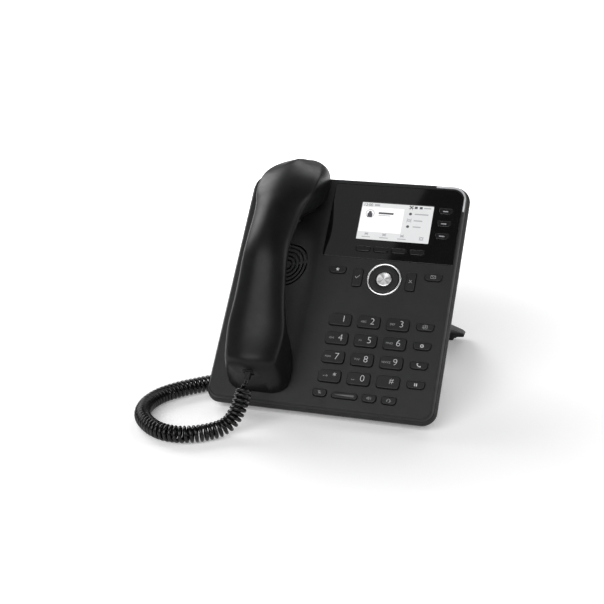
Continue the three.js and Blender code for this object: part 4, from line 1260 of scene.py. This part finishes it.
def cord_path():
    """The wire's own centreline: a lead, the helix round the coil's route, and the tail."""
    step = COIL_PITCH / STEPS_PER_TURN
    total = route_length(spline(COIL_ROUTE, step))
    core = frames_along(spline(COIL_ROUTE + TAIL_ROUTE, step))
    wire = []
    helix_radius = COIL_RADIUS - WIRE_RADIUS
    angle = 0.0
    for i, (point, _, across, up) in enumerate(core):
        along = i * step
        opening = smooth_step((along - COIL_STRAIGHT) / COIL_GROWTH)
        grown = opening * smooth_step((total - along) / COIL_GROWTH)
        if grown == 0 and i % 4 and along > total:  # the straight tail needs only every fourth point
            continue
        angle += 2 * math.pi * grown / STEPS_PER_TURN
        wire.append(point + helix_radius * grown * (math.cos(angle) * across + math.sin(angle) * up))
    return wire


def build_cord():
    wire = [DESK @ p for p in cord_path()]
    vertices, faces = tube(wire, WIRE_RADIUS / 1000, 12)
    mesh = bpy.data.meshes.new("handset_cord")
    mesh.from_pydata([tuple(v) for v in vertices], [], faces)
    mark_sharp(mesh, 60)
    cord = bpy.data.objects.new("handset_cord", mesh)
    bpy.context.scene.collection.objects.link(cord)
    mesh.materials.append(LOOK["cord"])
    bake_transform(cord)
    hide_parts("cord_coil", "cord_tail")


build_cord()


# ---- CAD pieces that show as they are, with their edges softened ----
SHOWN_EDGE = 0.00025
for name, node in frame["nodes"].items():
    slot = next(s["material_slot"] for s in frame["record"]["subparts"] if s["node"] == name)
    node.data.materials.clear()
    node.data.materials.append(LOOK[slot])
    if not node.hide_render:
        bevel = node.modifiers.new("edges", "BEVEL")
        bevel.width = SHOWN_EDGE
        bevel.segments = 3
        bevel.limit_method = "ANGLE"
        bevel.angle_limit = math.radians(35)


# ---- floor and light ----
def add_floor():
    half = 40
    vertices = [(-half, -half, 0), (half, -half, 0), (half, half, 0), (-half, half, 0)]
    mesh = bpy.data.meshes.new("floor")
    mesh.from_pydata(vertices, [], [(0, 1, 2, 3)])
    mesh.materials.append(LOOK["floor"])
    floor = bpy.data.objects.new("floor", mesh)
    bpy.context.scene.collection.objects.link(floor)


def add_area(name, place, target, width, height, radiance, spin=0.0):
    """A rectangular softbox of even radiance, aimed at a target, then turned in its own plane."""
    data = bpy.data.lights.new(name, "AREA")
    data.shape = "RECTANGLE"
    data.size = width
    data.size_y = height
    data.energy = radiance * width * height * math.pi
    light = bpy.data.objects.new(name, data)
    bpy.context.scene.collection.objects.link(light)
    aim = (Vector(target) - Vector(place)).to_track_quat("-Z", "Y").to_matrix().to_4x4()
    light.matrix_world = Matrix.Translation(place) @ aim @ Matrix.Rotation(math.radians(spin), 4, "Z")


PANEL_SPIN = -26.4
add_floor()
add_area("left", (-1.45, 0.95, 1.1), (0, 0.05, 0.1), 1.3, 1.2, 5.0)
add_area("back", (0.3, 2.4, 1.7), (0, 0, 0.05), 2.4, 1.2, 2.6)
add_area("key", (-0.25, -1.45, 1.15), (0, 0, 0.1), 1.8, 0.95, 4.8)
add_area("right", (2.0, 0.3, 0.8), (0, 0, 0.1), 0.6, 1.2, 5.0)
add_area("panel", (-0.444, -0.32, 1.4), (-0.444, -0.32, 0), 0.5, 0.5, 0.33, PANEL_SPIN)
world = bpy.data.worlds.new("studio")
world.use_nodes = True
world.node_tree.nodes["Background"].inputs["Color"].default_value = (1, 1, 1, 1)
world.node_tree.nodes["Background"].inputs["Strength"].default_value = 0.06
bpy.context.scene.world = world
bpy.context.scene.view_settings.view_transform = "Standard"
